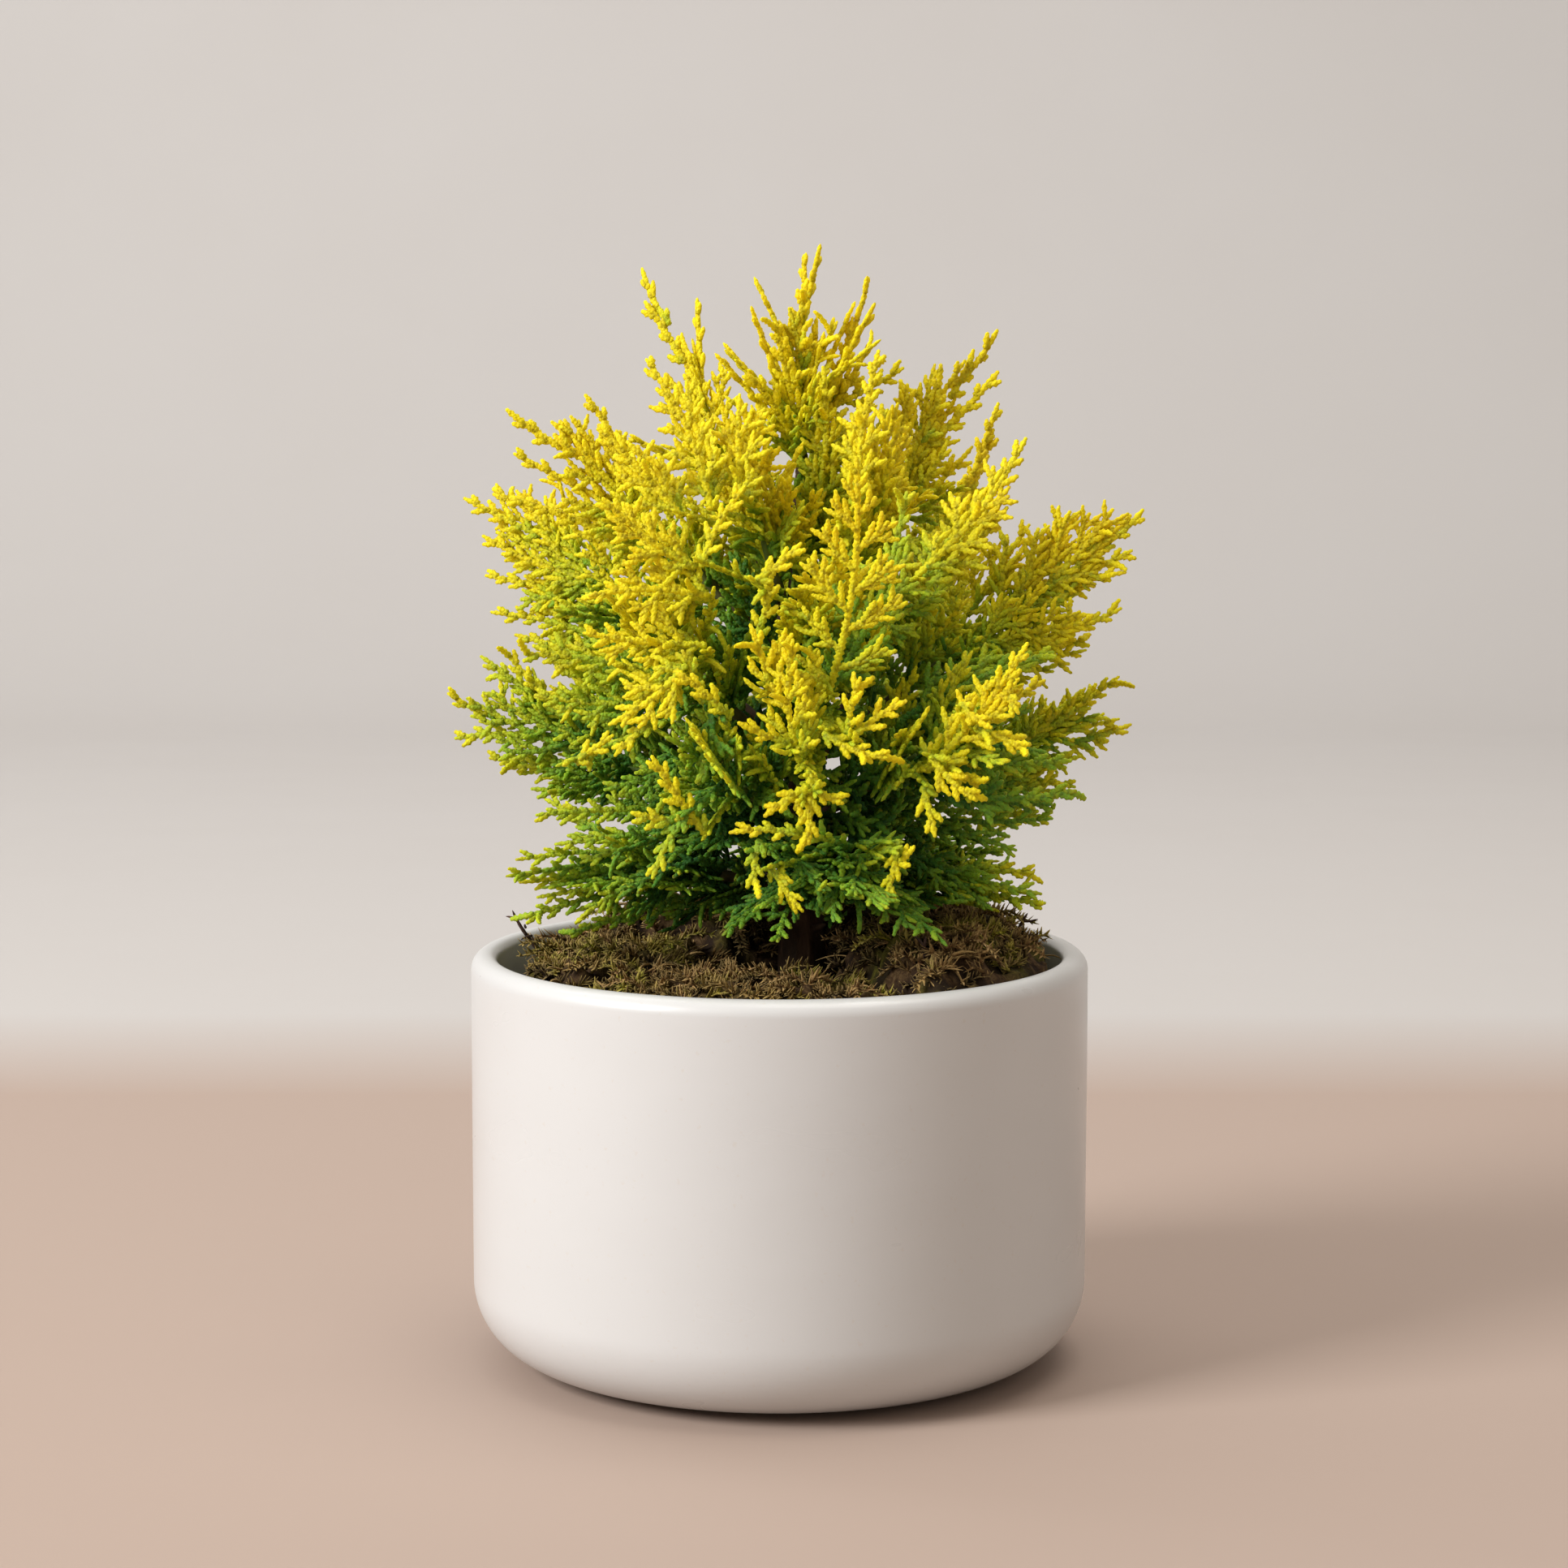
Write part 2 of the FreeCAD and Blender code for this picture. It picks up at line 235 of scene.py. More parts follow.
class Nodes:
    """A short way to write a node material."""

    def __init__(self, name):
        self.material = bpy.data.materials.new(name)
        self.material.use_nodes = True
        self.tree = self.material.node_tree
        self.tree.nodes.clear()
        self.shader = self.add("BsdfPrincipled")
        self.feed(self.shader.outputs[0], self.add("OutputMaterial").inputs[0])
        self.place = self.add("TexCoord").outputs["Object"]

    def feed(self, source, socket):
        """Links a node's output to a socket, or sets the socket to a number, a vector or a colour."""
        if isinstance(source, bpy.types.NodeSocket):
            self.tree.links.new(source, socket)
        elif isinstance(source, tuple) and socket.type == "RGBA":
            socket.default_value = (*source, 1)
        else:
            socket.default_value = source

    def add(self, kind, **inputs):
        """A new node with its inputs fed; an input's name has underscores for spaces."""
        node = self.tree.nodes.new("ShaderNode" + kind)
        for key, value in inputs.items():
            self.feed(value, node.inputs[key.replace("_", " ")])
        return node

    def stretched(self, along_z):
        """The place in the piece, with the texture stretched (below 1) or squeezed along z."""
        return self.add("Mapping", Scale=(1, 1, along_z), Vector=self.place).outputs[0]

    def noise(self, scale, detail, rough=0.55, vector=None, distortion=0.0):
        return self.add(
            "TexNoise", Scale=scale, Detail=detail, Roughness=rough, Distortion=distortion,
            Vector=vector or self.place,
        ).outputs["Fac"]

    def cells(self, scale):
        return self.add("TexVoronoi", Scale=scale, Vector=self.place).outputs["Distance"]

    def ramp(self, fac, *stops):
        node = self.add("ValToRGB", Fac=fac)
        elements = node.color_ramp.elements
        while len(elements) < len(stops):
            elements.new(0.5)
        for element, (place, color) in zip(elements, stops):
            element.position = place
            element.color = (*color, 1)
        return node.outputs[0]

    def span(self, fac, to_low, to_high, low=0.3, high=0.7):
        """Brings a value between low and high to the range from to_low to to_high."""
        return self.add(
            "MapRange", Value=fac, From_Min=low, From_Max=high, To_Min=to_low, To_Max=to_high
        ).outputs[0]

    def mix(self, fac, a, b):
        node = self.add("Mix")
        node.data_type = "RGBA"
        for source, socket in ((fac, 0), (a, 6), (b, 7)):
            self.feed(source, node.inputs[socket])
        return node.outputs[2]

    def math(self, kind, a, b):
        node = self.add("Math")
        node.operation = kind
        self.feed(a, node.inputs[0])
        self.feed(b, node.inputs[1])
        return node.outputs[0]

    def leaf(self):
        """The painted attribute's channels: age, tone and gold."""
        node = self.add("Attribute")
        node.attribute_name = "leaf"
        return self.add("SeparateColor", Color=node.outputs["Color"]).outputs[:3]

    def finish(self, color, rough, height=None, strength=0.0, distance=0.0, **values):
        """The material, with its colour, its roughness as a span's inputs, its bump and the rest."""
        values.update(Base_Color=color, Roughness=self.span(*rough))
        if height is not None:
            bump = self.add("Bump", Strength=strength, Distance=distance, Height=height)
            values["Normal"] = bump.outputs[0]
        for key, value in values.items():
            self.feed(value, self.shader.inputs[key.replace("_", " ")])
        return self.material


def foliage_material():
    """Green to gold by the painted gold, with painted shade in the sunken seams between the scales and
    some brown tips.
    """
    m = Nodes("foliage")
    age, tone, gold = m.leaf()
    mottle = m.noise(700, 3)
    mixed = m.math("ADD", gold, m.span(tone, -0.08, 0.08, 0, 1))
    mixed = m.math("ADD", mixed, m.span(mottle, -0.05, 0.05))
    mixed = m.math("ADD", mixed, m.span(age, -0.07, 0.05, 0, 1))
    color = m.ramp(
        mixed,
        (0.00, (0.016, 0.078, 0.014)),
        (0.20, (0.056, 0.195, 0.020)),
        (0.40, (0.205, 0.395, 0.022)),
        (0.58, (0.490, 0.575, 0.016)),
        (0.76, (0.840, 0.715, 0.010)),
        (1.00, (1.000, 0.755, 0.008)),
    )
    broad = m.span(m.noise(38, 2), 0.0, 0.75, 0.50, 0.66)
    patches = m.math("MULTIPLY", broad, m.span(mixed, 0.0, 1.0, 0.78, 0.95))
    color = m.mix(patches, color, (0.980, 0.680, 0.006))
    tips = m.math("MULTIPLY", m.span(age, 0.0, 1.0, 0.88, 1.0), m.span(tone, 0.0, 0.45, 0.6, 0.95))
    color = m.mix(tips, color, (0.30, 0.20, 0.02))
    scales = m.cells(1500)
    # Painted shade: the sunken seams between the scales are darker.
    scale_seam_shade = m.mix(gold, (0.020, 0.085, 0.010), (0.520, 0.400, 0.006))
    color = m.mix(m.span(scales, 0.0, 0.33, 0.38, 0.80), color, scale_seam_shade)
    return m.finish(
        color, (mottle, 0.54, 0.70), scales, 0.8, -0.0004, Specular_IOR_Level=0.2,
        Subsurface_Weight=0.45, Subsurface_Radius=(1.0, 0.8, 0.1), Subsurface_Scale=0.0026,
    )


def twig_material():
    """Brown bark that turns green towards the twig's tip."""
    m = Nodes("twig_bark")
    grain = m.noise(420, 5, 0.6, m.stretched(0.35))
    brown = m.ramp(
        grain, (0.3, (0.040, 0.020, 0.010)), (0.6, (0.120, 0.062, 0.028)), (0.8, (0.20, 0.12, 0.055))
    )
    green = m.ramp(grain, (0.3, (0.05, 0.10, 0.01)), (0.7, (0.16, 0.22, 0.03)))
    color = m.mix(m.span(m.leaf()[0], 0.0, 1.0, 0.35, 0.9), brown, green)
    return m.finish(color, (grain, 0.62, 0.85), grain, 0.6, 0.0006)


def bark_material():
    m = Nodes("trunk_bark_skin")
    ridges = m.noise(330, 6, 0.62, m.stretched(0.22), 0.6)
    color = m.ramp(
        ridges,
        (0.28, (0.008, 0.004, 0.003)),
        (0.48, (0.040, 0.019, 0.010)),
        (0.62, (0.085, 0.043, 0.022)),
        (0.80, (0.200, 0.120, 0.070)),
    )
    color = m.mix(m.span(m.noise(60, 3), 0.0, 0.6, 0.45, 0.75), color, (0.055, 0.040, 0.016))
    rough = (ridges, 0.75, 0.92)
    return m.finish(color, rough, ridges, 0.9, 0.0012, Specular_IOR_Level=0.25)


def moss_material():
    """Brown to olive by the painted gold, with painted shade in the hollows and underneath the fronds,
    and a painted highlight on the tips.
    """
    m = Nodes("moss")
    age, tone, gold = m.leaf()
    strands = m.noise(520, 5, 0.65, None, 1.2)
    brown = m.ramp(
        strands,
        (0.30, (0.050, 0.022, 0.008)),
        (0.48, (0.230, 0.120, 0.042)),
        (0.62, (0.480, 0.290, 0.115)),
        (0.80, (0.740, 0.520, 0.280)),
    )
    olive = m.ramp(
        strands,
        (0.30, (0.060, 0.062, 0.005)),
        (0.50, (0.330, 0.310, 0.022)),
        (0.80, (0.700, 0.620, 0.090)),
    )
    color = m.mix(m.span(gold, 0.0, 1.0, 0.25, 0.8), brown, olive)
    # Painted shade: near black where the tone is high, which marks a hollow.
    color = m.mix(m.span(tone, 0.0, 0.94, 0.25, 0.95), color, (0.022, 0.011, 0.005))
    # Painted highlight: paler towards the tips of the fronds and strands.
    color = m.mix(m.span(age, 0.0, 0.45, 0.6, 1.0), color, (0.66, 0.46, 0.17))
    # Painted shade: near black low on the fronds and on the pad's surface beneath them.
    color = m.mix(m.span(age, 0.0, 0.90, 0.3, 0.0), color, (0.016, 0.008, 0.004))
    rough = (strands, 0.78, 0.95)
    return m.finish(color, rough, strands, 0.8, 0.0010, Specular_IOR_Level=0.2)


def soil_material():
    m = Nodes("coir_soil")
    fine = m.noise(900, 5, 0.7)
    color = m.ramp(
        fine, (0.3, (0.006, 0.003, 0.002)), (0.55, (0.028, 0.014, 0.007)), (0.8, (0.10, 0.055, 0.028))
    )
    rough = (fine, 0.85, 0.98)
    return m.finish(color, rough, m.cells(620), 0.9, 0.0014, Specular_IOR_Level=0.15)


def glaze_material():
    """White glaze: faintly cloudy and wavy, with a few specks."""
    m = Nodes("white_glaze")
    waves = m.noise(40, 2, 0.4, m.stretched(2.2))
    cloud = m.span(m.noise(14, 3), 0.0, 1.0)
    color = m.mix(cloud, (0.650, 0.648, 0.640), (0.620, 0.616, 0.606))
    color = m.mix(m.span(m.noise(900, 2, 0.5), 0.0, 0.25, 0.66, 0.75), color, (0.60, 0.53, 0.45))
    height = m.math("ADD", waves, m.math("MULTIPLY", m.noise(420, 3), 0.12))
    return m.finish(
        color, (waves, 0.27, 0.38), height, 0.12, 0.0008,
        Specular_IOR_Level=0.5, Coat_Weight=0.25, Coat_Roughness=0.18,
    )


def felt_material():
    m = Nodes("felt")
    fibre = m.noise(1500, 6, 0.7, None, 1.5)
    color = m.ramp(fibre, (0.3, (0.02, 0.018, 0.016)), (0.75, (0.07, 0.065, 0.06)))
    return m.finish(color, (fibre, 0.9, 1.0), fibre, 0.7, 0.0005)


def cement_material():
    m = Nodes("cement")
    grit = m.noise(500, 6, 0.7)
    color = m.ramp(grit, (0.3, (0.22, 0.21, 0.20)), (0.7, (0.42, 0.41, 0.39)))
    return m.finish(color, (grit, 0.8, 0.95), m.cells(300), 0.4, 0.0008)


def foam_material():
    m = Nodes("foam_beads")
    beads = m.cells(350)
    color = m.ramp(beads, (0.0, (0.80, 0.81, 0.78)), (0.6, (0.62, 0.63, 0.60)))
    return m.finish(color, (beads, 0.7, 0.9, 0.0, 0.6), beads, 0.5, 0.0010)


def steel_material():
    m = Nodes("drawn_steel")
    lines = m.noise(900, 4, 0.6, m.stretched(0.05))
    color = m.ramp(lines, (0.3, (0.30, 0.30, 0.31)), (0.7, (0.48, 0.48, 0.49)))
    return m.finish(color, (lines, 0.28, 0.45), lines, 0.2, 0.0002, Metallic=1.0)


def dry_twig_material():
    m = Nodes("dry_twig")
    grain = m.noise(700, 5, 0.65, m.stretched(0.3))
    color = m.ramp(
        grain, (0.3, (0.018, 0.008, 0.005)), (0.6, (0.075, 0.035, 0.020)), (0.85, (0.22, 0.13, 0.08))
    )
    return m.finish(color, (grain, 0.75, 0.9), grain, 0.8, 0.0006)


# ---------------------------------------------------------------- reading the frame

JOINTS = {joint["child"]: joint for joint in frame["joints"]}
LIMBS = sorted(JOINTS)
TRUNK_CENTRE = np.array([sum(corner.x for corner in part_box("trunk_rod")) / 2, 0.0, 0.0])
COIR_TOP = 74 * MM
SLEEVE_CAP = 0.5 * MM
# The coir's radius, the height of the heap about the trunk's foot, and its level and sloping parts.
COIR_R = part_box("coir_disc")[1].x
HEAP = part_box("coir_disc")[1].z - COIR_TOP
HEAP_LEVEL_R, HEAP_SLOPE = 6.7 * MM, 8.5 * MM
# How much of a pad's area each frond or strand of moss has to itself.
FROND_AREA, STRAND_AREA = 9.5 * MM * MM, 26 * MM * MM
# How much olive green, beside brown, each moss pad has.
MOSS_GREEN = {"moss_front": 0.66, "moss_left": 0.76, "moss_right": 1.00, "moss_back": 0.90}


def solids(node):
    """The separate solids of a CAD node, each as an array of its corners."""
    mesh = bmesh.new()
    mesh.from_mesh(frame["nodes"][node].data)
    bmesh.ops.remove_doubles(mesh, verts=mesh.verts, dist=1e-6)
    mesh.verts.ensure_lookup_table()
    seen = np.zeros(len(mesh.verts), bool)
    groups = []
    for first in mesh.verts:
        if seen[first.index]:
            continue
        seen[first.index] = True
        stack, group = [first], []
        while stack:
            vert = stack.pop()
            group.append(tuple(vert.co))
            for edge in vert.link_edges:
                other = edge.other_vert(vert)
                if not seen[other.index]:
                    seen[other.index] = True
                    stack.append(other)
        groups.append(np.array(group))
    mesh.free()
    return groups


# Sprays of a limb, as shares of its reach: where each starts on the wire, how it turns up and sideways,
# its length and half width, and the twist of its flat side. They are the frame's own flat sprays.
FANS = {
    "upright": (
        (0.52, 3, 1, 0.48, 0.140, 10),
        (0.38, 19, 7, 0.44, 0.105, -8),
        (0.42, -20, -7, 0.40, 0.105, 8),
        (0.26, 15, -13, 0.34, 0.085, 14),
    ),
    "spread": (
        (0.52, 3, 0, 0.48, 0.145, 84),
        (0.34, 6, 24, 0.46, 0.115, 78),
        (0.40, 2, -26, 0.42, 0.115, 80),
        (0.24, 8, -33, 0.34, 0.090, 78),
    ),
    "facing": (
        (0.50, 12, 0, 0.50, 0.160, 88),
        (0.34, 2, 22, 0.44, 0.105, 84),
        (0.40, 2, -24, 0.42, 0.105, 84),
    ),
    "tilted": (
        (0.52, 3, 0, 0.48, 0.145, 44),
        (0.34, 9, 22, 0.44, 0.110, 48),
        (0.40, -10, -24, 0.40, 0.110, 48),
    ),
    "drooping": (
        (0.50, -15, 0, 0.50, 0.135, 80),
        (0.32, -8, 24, 0.48, 0.110, 80),
        (0.40, -9, -26, 0.42, 0.110, 80),
    ),
    "falling": (
        (0.50, -34, 0, 0.50, 0.135, 84),
        (0.32, -24, 26, 0.46, 0.110, 80),
        (0.40, -26, -28, 0.42, 0.110, 80),
    ),
    "leader": (
        (0.40, 0, 3, 0.60, 0.100, 84),
        (0.20, 6, 21, 0.74, 0.085, 76),
        (0.24, -15, -12, 0.66, 0.080, 80),
        (0.16, -22, -29, 0.58, 0.075, 84),
    ),
}
FANS["tilted_right"] = tuple(
    (at, up, -side, long, wide, -twist) for at, up, side, long, wide, twist in FANS["tilted"]
)
PATTERNS = {
    "falling": ("limb_01",),
    "drooping": ("limb_02", "limb_03", "limb_04", "limb_05", "limb_06"),
    "tilted": ("limb_07", "limb_14"),
    "tilted_right": ("limb_08",),
    "spread": ("limb_10", "limb_11", "limb_17"),
    "facing": ("limb_13", "limb_19", "limb_23"),
    "leader": ("leader",),
}
PATTERN_OF = {limb: name for name, limbs in PATTERNS.items() for limb in limbs}


class Limb:
    """A limb's socket, its directions, its reach from the trunk's axis, and its flat sprays."""

    def __init__(self, name):
        self.name = name
        fans = FANS[PATTERN_OF.get(name, "upright")]
        self.socket = np.array(JOINTS[name]["pos_m"])
        self.side = -unit(JOINTS[name]["axis"])
        wire = solids(name + "_wire")[0]
        self.along = unit(np.cross(self.side, np.cross(wire.mean(0) - self.socket, self.side)))
        self.up = np.cross(self.along, self.side)
        level = self.along[:2]
        skin = (self.socket[:2] - TRUNK_CENTRE[:2]) @ level / (level @ level)
        self.axis_point = self.socket - self.along * skin
        wire_end = ((wire - self.axis_point) @ self.along).max()
        self.reach = (wire_end + SLEEVE_CAP) / max(fan[0] for fan in fans)
        self.sprays = [Fan(self, *fan) for fan in fans]
        self.bare = max(fan.start for fan in self.sprays)

    def at(self, reach):
        """The point of the limb's line at a distance from the trunk's axis."""
        return self.axis_point + self.along * reach

    def measure(self, point):
        """How far along the limb's line a point is, and how far off it."""
        reach = (point - self.axis_point) @ self.along
        return reach, np.linalg.norm(point - self.axis_point - self.along * reach)


class Fan:
    """One flat spray of the frame: its root, directions, length and half width."""

    def __init__(self, limb, start, up_deg, side_deg, length, half_width, twist_deg):
        up, side, twist = (math.radians(x) for x in (up_deg, side_deg, twist_deg))
        along = limb.along * (math.cos(up) * math.cos(side))
        along = unit(along + limb.up * math.sin(up) + limb.side * (math.cos(up) * math.sin(side)))
        across = unit(limb.up - along * (limb.up @ along))
        wide = across * math.cos(twist) + np.cross(along, across) * math.sin(twist)
        self.along, self.normal = along, np.cross(along, wide)
        if self.normal[2] < 0:
            self.normal = -self.normal
        self.start = start * limb.reach
        self.root = limb.axis_point + limb.along * self.start
        self.length, self.half_width = length * limb.reach, half_width * limb.reach


class MossPad:
    """A moss pad's start and end heading, inner and outer radius, and top, read from its corners."""

    def __init__(self, number, node):
        self.node, self.seed, self.greenness = node, 3.0 + number, MOSS_GREEN[node]
        corners = np.concatenate(solids(node))
        radius = np.hypot(corners[:, 0], corners[:, 1])
        heading = np.degrees(np.arctan2(corners[:, 1], corners[:, 0]))
        turned = np.radians(heading)
        mean = math.degrees(math.atan2(np.sin(turned).mean(), np.cos(turned).mean()))
        spread = (heading - mean + 180) % 360 - 180
        self.start, self.stop = mean + spread.min(), mean + spread.max()
        self.inner, self.outer, self.top = radius.min(), radius.max(), corners[:, 2].max()

    def across(self, radius):
        """From -1 at the pad's inner edge to 1 at its outer edge."""
        return 2 * (radius - self.inner) / (self.outer - self.inner) - 1

    def height(self, x, y):
        """Height of the moss at a place: a dome over its ring sector, with lumps and hollows."""
        radius, angle = math.hypot(x, y), math.degrees(math.atan2(y, x))
        mid = (self.start + self.stop) / 2
        angle = mid + (angle - mid + 180) % 360 - 180
        edge = min(angle - self.start, self.stop - angle) * math.pi / 180 * radius
        dome = math.sqrt(max(0.0, 1 - 0.72 * self.across(radius) ** 2))
        dome *= min(1.0, 0.45 + max(0.0, edge) / (9 * MM))
        seed = self.seed
        lumps = 3.4 * noise_at(x + seed, y, seed, 120) + 2.4 * noise_at(x, y + seed, seed, 260)
        lumps += 0.5 * noise_at(x + seed, y, seed, 900) - 0.8
        return max(COIR_TOP + 0.5 * MM, COIR_TOP + (self.top - COIR_TOP) * dome * 0.95 + lumps * MM)

    def green(self, x, y):
        """From 0, brown, up to olive green, in patches."""
        return (0.42 + 1.7 * noise_at(x, y, self.seed, 70)) * self.greenness

    def hollow_shade(self, x, y):
        """How much painted shade the moss gets at a place: from 0, a lit lump, to 1, a dark hollow
        painted as in shade.
        """
        return clamped(0.40 - 2.5 * noise_at(x, y + self.seed, self.seed, 260))

    def surface(self):
        """The pad's own lumpy surface: its corners, faces and colours."""
        rows = int((self.outer - self.inner) / (0.75 * MM))
        columns = int(math.radians(self.stop - self.start) * self.outer / (0.85 * MM))
        verts, colors = [], []
        for i in range(rows + 1):
            for j in range(columns + 1):
                radius = self.inner + (self.outer - self.inner) * i / rows
                wobble = 1.2 * MM * noise_at(j * 0.3 * MM, self.seed, i * 0.2 * MM, 500) * (i == rows)
                angle = math.radians(self.start + (self.stop - self.start) * j / columns)
                x, y = polar(radius + wobble, angle)
                at_edge = i in (0, rows) or j in (0, columns)
                verts.append((x, y, COIR_TOP + 0.3 * MM if at_edge else self.height(x, y)))
                # The pad's surface is painted dark as shade beneath the fronds: a low age, and a tone
                # from its hollow shade.
                colors.append((0.07, 0.45 + 0.55 * self.hollow_shade(x, y), clamped(self.green(x, y)), 1))
        return verts, grid(rows, columns + 1, closed=False), colors


MOSS_PADS = [MossPad(number, node) for number, node in enumerate(MOSS_GREEN)]


# ---------------------------------------------------------------- foliage

LEAF_HALF_WIDTH = 0.75 * MM
LEAF_FLATNESS = 0.72
SCALE_PITCH = 0.58 * MM
SCALE_SWELL = 0.46
# Half the width from which a spray is a broad one, with wide open side shoots.
BROAD = 7.2 * MM

# Low foliage is held up so that it doesn't sink into the moss or the pot.
LOW_FOLIAGE = 0.100
SOFT_FLOOR = 5 * MM
RIM_FROM = 55 * MM
OVER_RIM, OVER_COIR = 88.6 * MM, 88.0 * MM
OVER_MOSS = 3.8 * MM

# The crown's foot, height, middle and radius, by which its sprays turn from green to gold.
CROWN_FOOT, CROWN_HEIGHT = 0.085, 0.112
CROWN_MIDDLE_X, CROWN_RADIUS = 0.0045, 0.055


# How much further towards yellow (above 0) or green a limb's sprays are than their place gives.
GOLD_SHIFT = {
    "limb_01": -0.04, "limb_03": 0.14, "limb_07": -0.06, "limb_08": 0.08, "limb_12": -0.08,
    "limb_13": 0.06, "limb_14": -0.02, "limb_18": -0.06, "limb_19": 0.08, "limb_23": 0.08,
}
# How broad a limb's leaflets are beside the others'.
LEAF_SIZE = {
    "limb_01": 0.96, "limb_02": 0.82, "limb_03": 0.80, "limb_04": 0.82, "limb_05": 0.88,
    "limb_06": 0.84, "limb_08": 1.06, "limb_09": 0.86, "limb_12": 0.90, "limb_13": 1.06,
    "limb_15": 0.90, "limb_18": 0.94,
}


def gold_at(point, shift):
    """From 0, the green of the crown's foot and inside, to 1, the yellow of its top and outside."""
    height = clamped((point[2] - CROWN_FOOT) / CROWN_HEIGHT)
    out = math.hypot(point[0] - CROWN_MIDDLE_X, point[1]) / CROWN_RADIUS
    return clamped(0.22 + 0.72 * height + 0.26 * (min(out, 1.1) - 0.62) * (1 - 0.6 * height) + shift)


def rings_for(length):
    """An even number of rings, two for each pair of scale leaves."""
    return max(6, 2 * int(round(length / (2 * SCALE_PITCH))))


def ground(x, y):
    """The lowest that foliage hangs over a place: over the rim, over a moss pad, or between pads."""
    radius, heading = math.hypot(x, y), math.degrees(math.atan2(y, x))
    if radius > RIM_FROM:
        return OVER_RIM
    for pad in MOSS_PADS:
        if 0 <= (heading - pad.start) % 360 <= pad.stop - pad.start:
            across = min(1.0, abs(pad.across(radius)))
            return COIR_TOP + (pad.top - COIR_TOP) * math.sqrt(1 - 0.5 * across * across) + OVER_MOSS
    return OVER_COIR


class Spray:
    """Grows one flat spray: a rachis, side shoots alternating left and right, and leaflets on them."""

    def __init__(
        self, tubes, rng, root, along, normal, length, half_width, shift, vigour, slim=False, gold=None
    ):
        self.tubes, self.rng, self.slim, self.gold = tubes, rng, slim, gold
        self.shift = shift + rng.uniform(-0.07, 0.07)
        self.root, self.along = np.array(root), unit(along)
        self.across = unit(np.cross(normal, self.along))
        self.normal = unit(np.cross(self.along, self.across))
        self.length, self.half_width, self.width = length, half_width, LEAF_HALF_WIDTH * vigour
        self.broad = gold is not None and half_width > BROAD
        self.bow = rng.uniform(-0.07, 0.07) * length
        self.droop = rng.uniform(-0.05, 0.10) * length
        self.grow()

    def place(self, x, y, z=0.0):
        """A point of the spray's own flat sheet, which bows sideways and droops towards its tip."""
        t = x / self.length
        y = y + self.bow * math.sin(math.pi * min(t, 1.0))
        z = z - self.droop * t * t - 0.012 * abs(y / MM) ** 1.4 * MM
        point = self.root + self.along * x + self.across * y + self.normal * z
        if point[2] < LOW_FOLIAGE:
            room = point[2] - ground(point[0], point[1])
            if room < SOFT_FLOOR:
                point[2] += SOFT_FLOOR * math.exp(room / SOFT_FLOOR - 1) - room
        return point

    def outline(self, t):
        """Half width of the spray at a share of its length: widest near its foot, slim at the tip."""
        return 1.15 * self.half_width * min(1.0, 0.5 + 2.0 * t) * max(0.0, 1 - t) ** 0.9

    def shoot(self, start, middle, end, width, taper, age, golden=0.0):
        """One scaly shoot through three points of the sheet, each (x, y, z)."""
        p0, pm, p2 = self.place(*start), self.place(*middle), self.place(*end)
        length = np.linalg.norm(pm - p0) + np.linalg.norm(p2 - pm)
        share = end[0] / self.length - 0.60
        golden += (0.55 if share < 0 else 0.20) * share
        base = gold_at(p2, self.shift) if self.gold is None else self.gold
        color = (age, self.rng.uniform(0, 1), clamped(base + golden), 1)
        self.tubes.add(
            p0, 2 * pm - (p0 + p2) / 2, p2, self.normal, width, width * LEAF_FLATNESS,
            rings_for(length), SCALE_SWELL, taper, color,
        )

    def grow(self):
        rng = self.rng
        self.rachis()
        x, side = self.length * rng.uniform(0.04, 0.10), rng.choice([-1, 1])
        while x < self.length - 2.0 * MM:
            t = x / self.length
            heading = math.radians((60 if self.broad else 49) - 15 * t + rng.uniform(-6, 6))
            reach = self.outline(t) / math.sin(heading) * rng.uniform(0.82, 1.10)
            reach = max(rng.uniform(2.2, 3.4) * MM, min(reach, (self.length - x) / math.cos(heading)))
            if self.slim and t > 0.35:
                reach = min(reach, rng.uniform(2.0, 4.6) * MM)
            self.branch(x, heading * side, reach, self.width * (1 - 0.10 * t))
            if not self.slim and rng.uniform() < 0.12:
                self.spur(x + rng.uniform(0.5, 2.0) * MM)
            gap = (1.6 + min(2.8, 0.17 * reach / MM)) * (1.15 if self.broad else 1.0)
            x += gap * (1.35 if self.slim else 1.0) * MM * rng.uniform(0.85, 1.15)
            side = -side

    def rachis(self):
        """The spray's spine, in pieces that each follow its bow."""
        pieces = 3
        for k in range(pieces):
            start, stop = self.length * k / pieces, self.length * (k + 1) / pieces
            middle, width = (start + stop) / 2, self.width * (0.98 - 0.06 * k)
            taper = 0.30 if k == pieces - 1 else 0.0
            self.shoot((start, 0), (middle, 0), (stop, 0), width, taper, 0.2 + 0.2 * k, -0.05)

    def spur(self, x):
        """A short shoot that stands out of the sheet."""
        rng = self.rng
        rise, out = rng.choice([-1, 1]) * rng.uniform(2.4, 5.0) * MM, rng.uniform(-2.5, 2.5) * MM
        run = rng.uniform(2.0, 4.0) * MM
        middle = (x + run * 0.6, out * 0.5, rise * 0.4)
        self.shoot((x, 0), middle, (x + run, out, rise), self.width * 0.95, 0.2, 0.4)

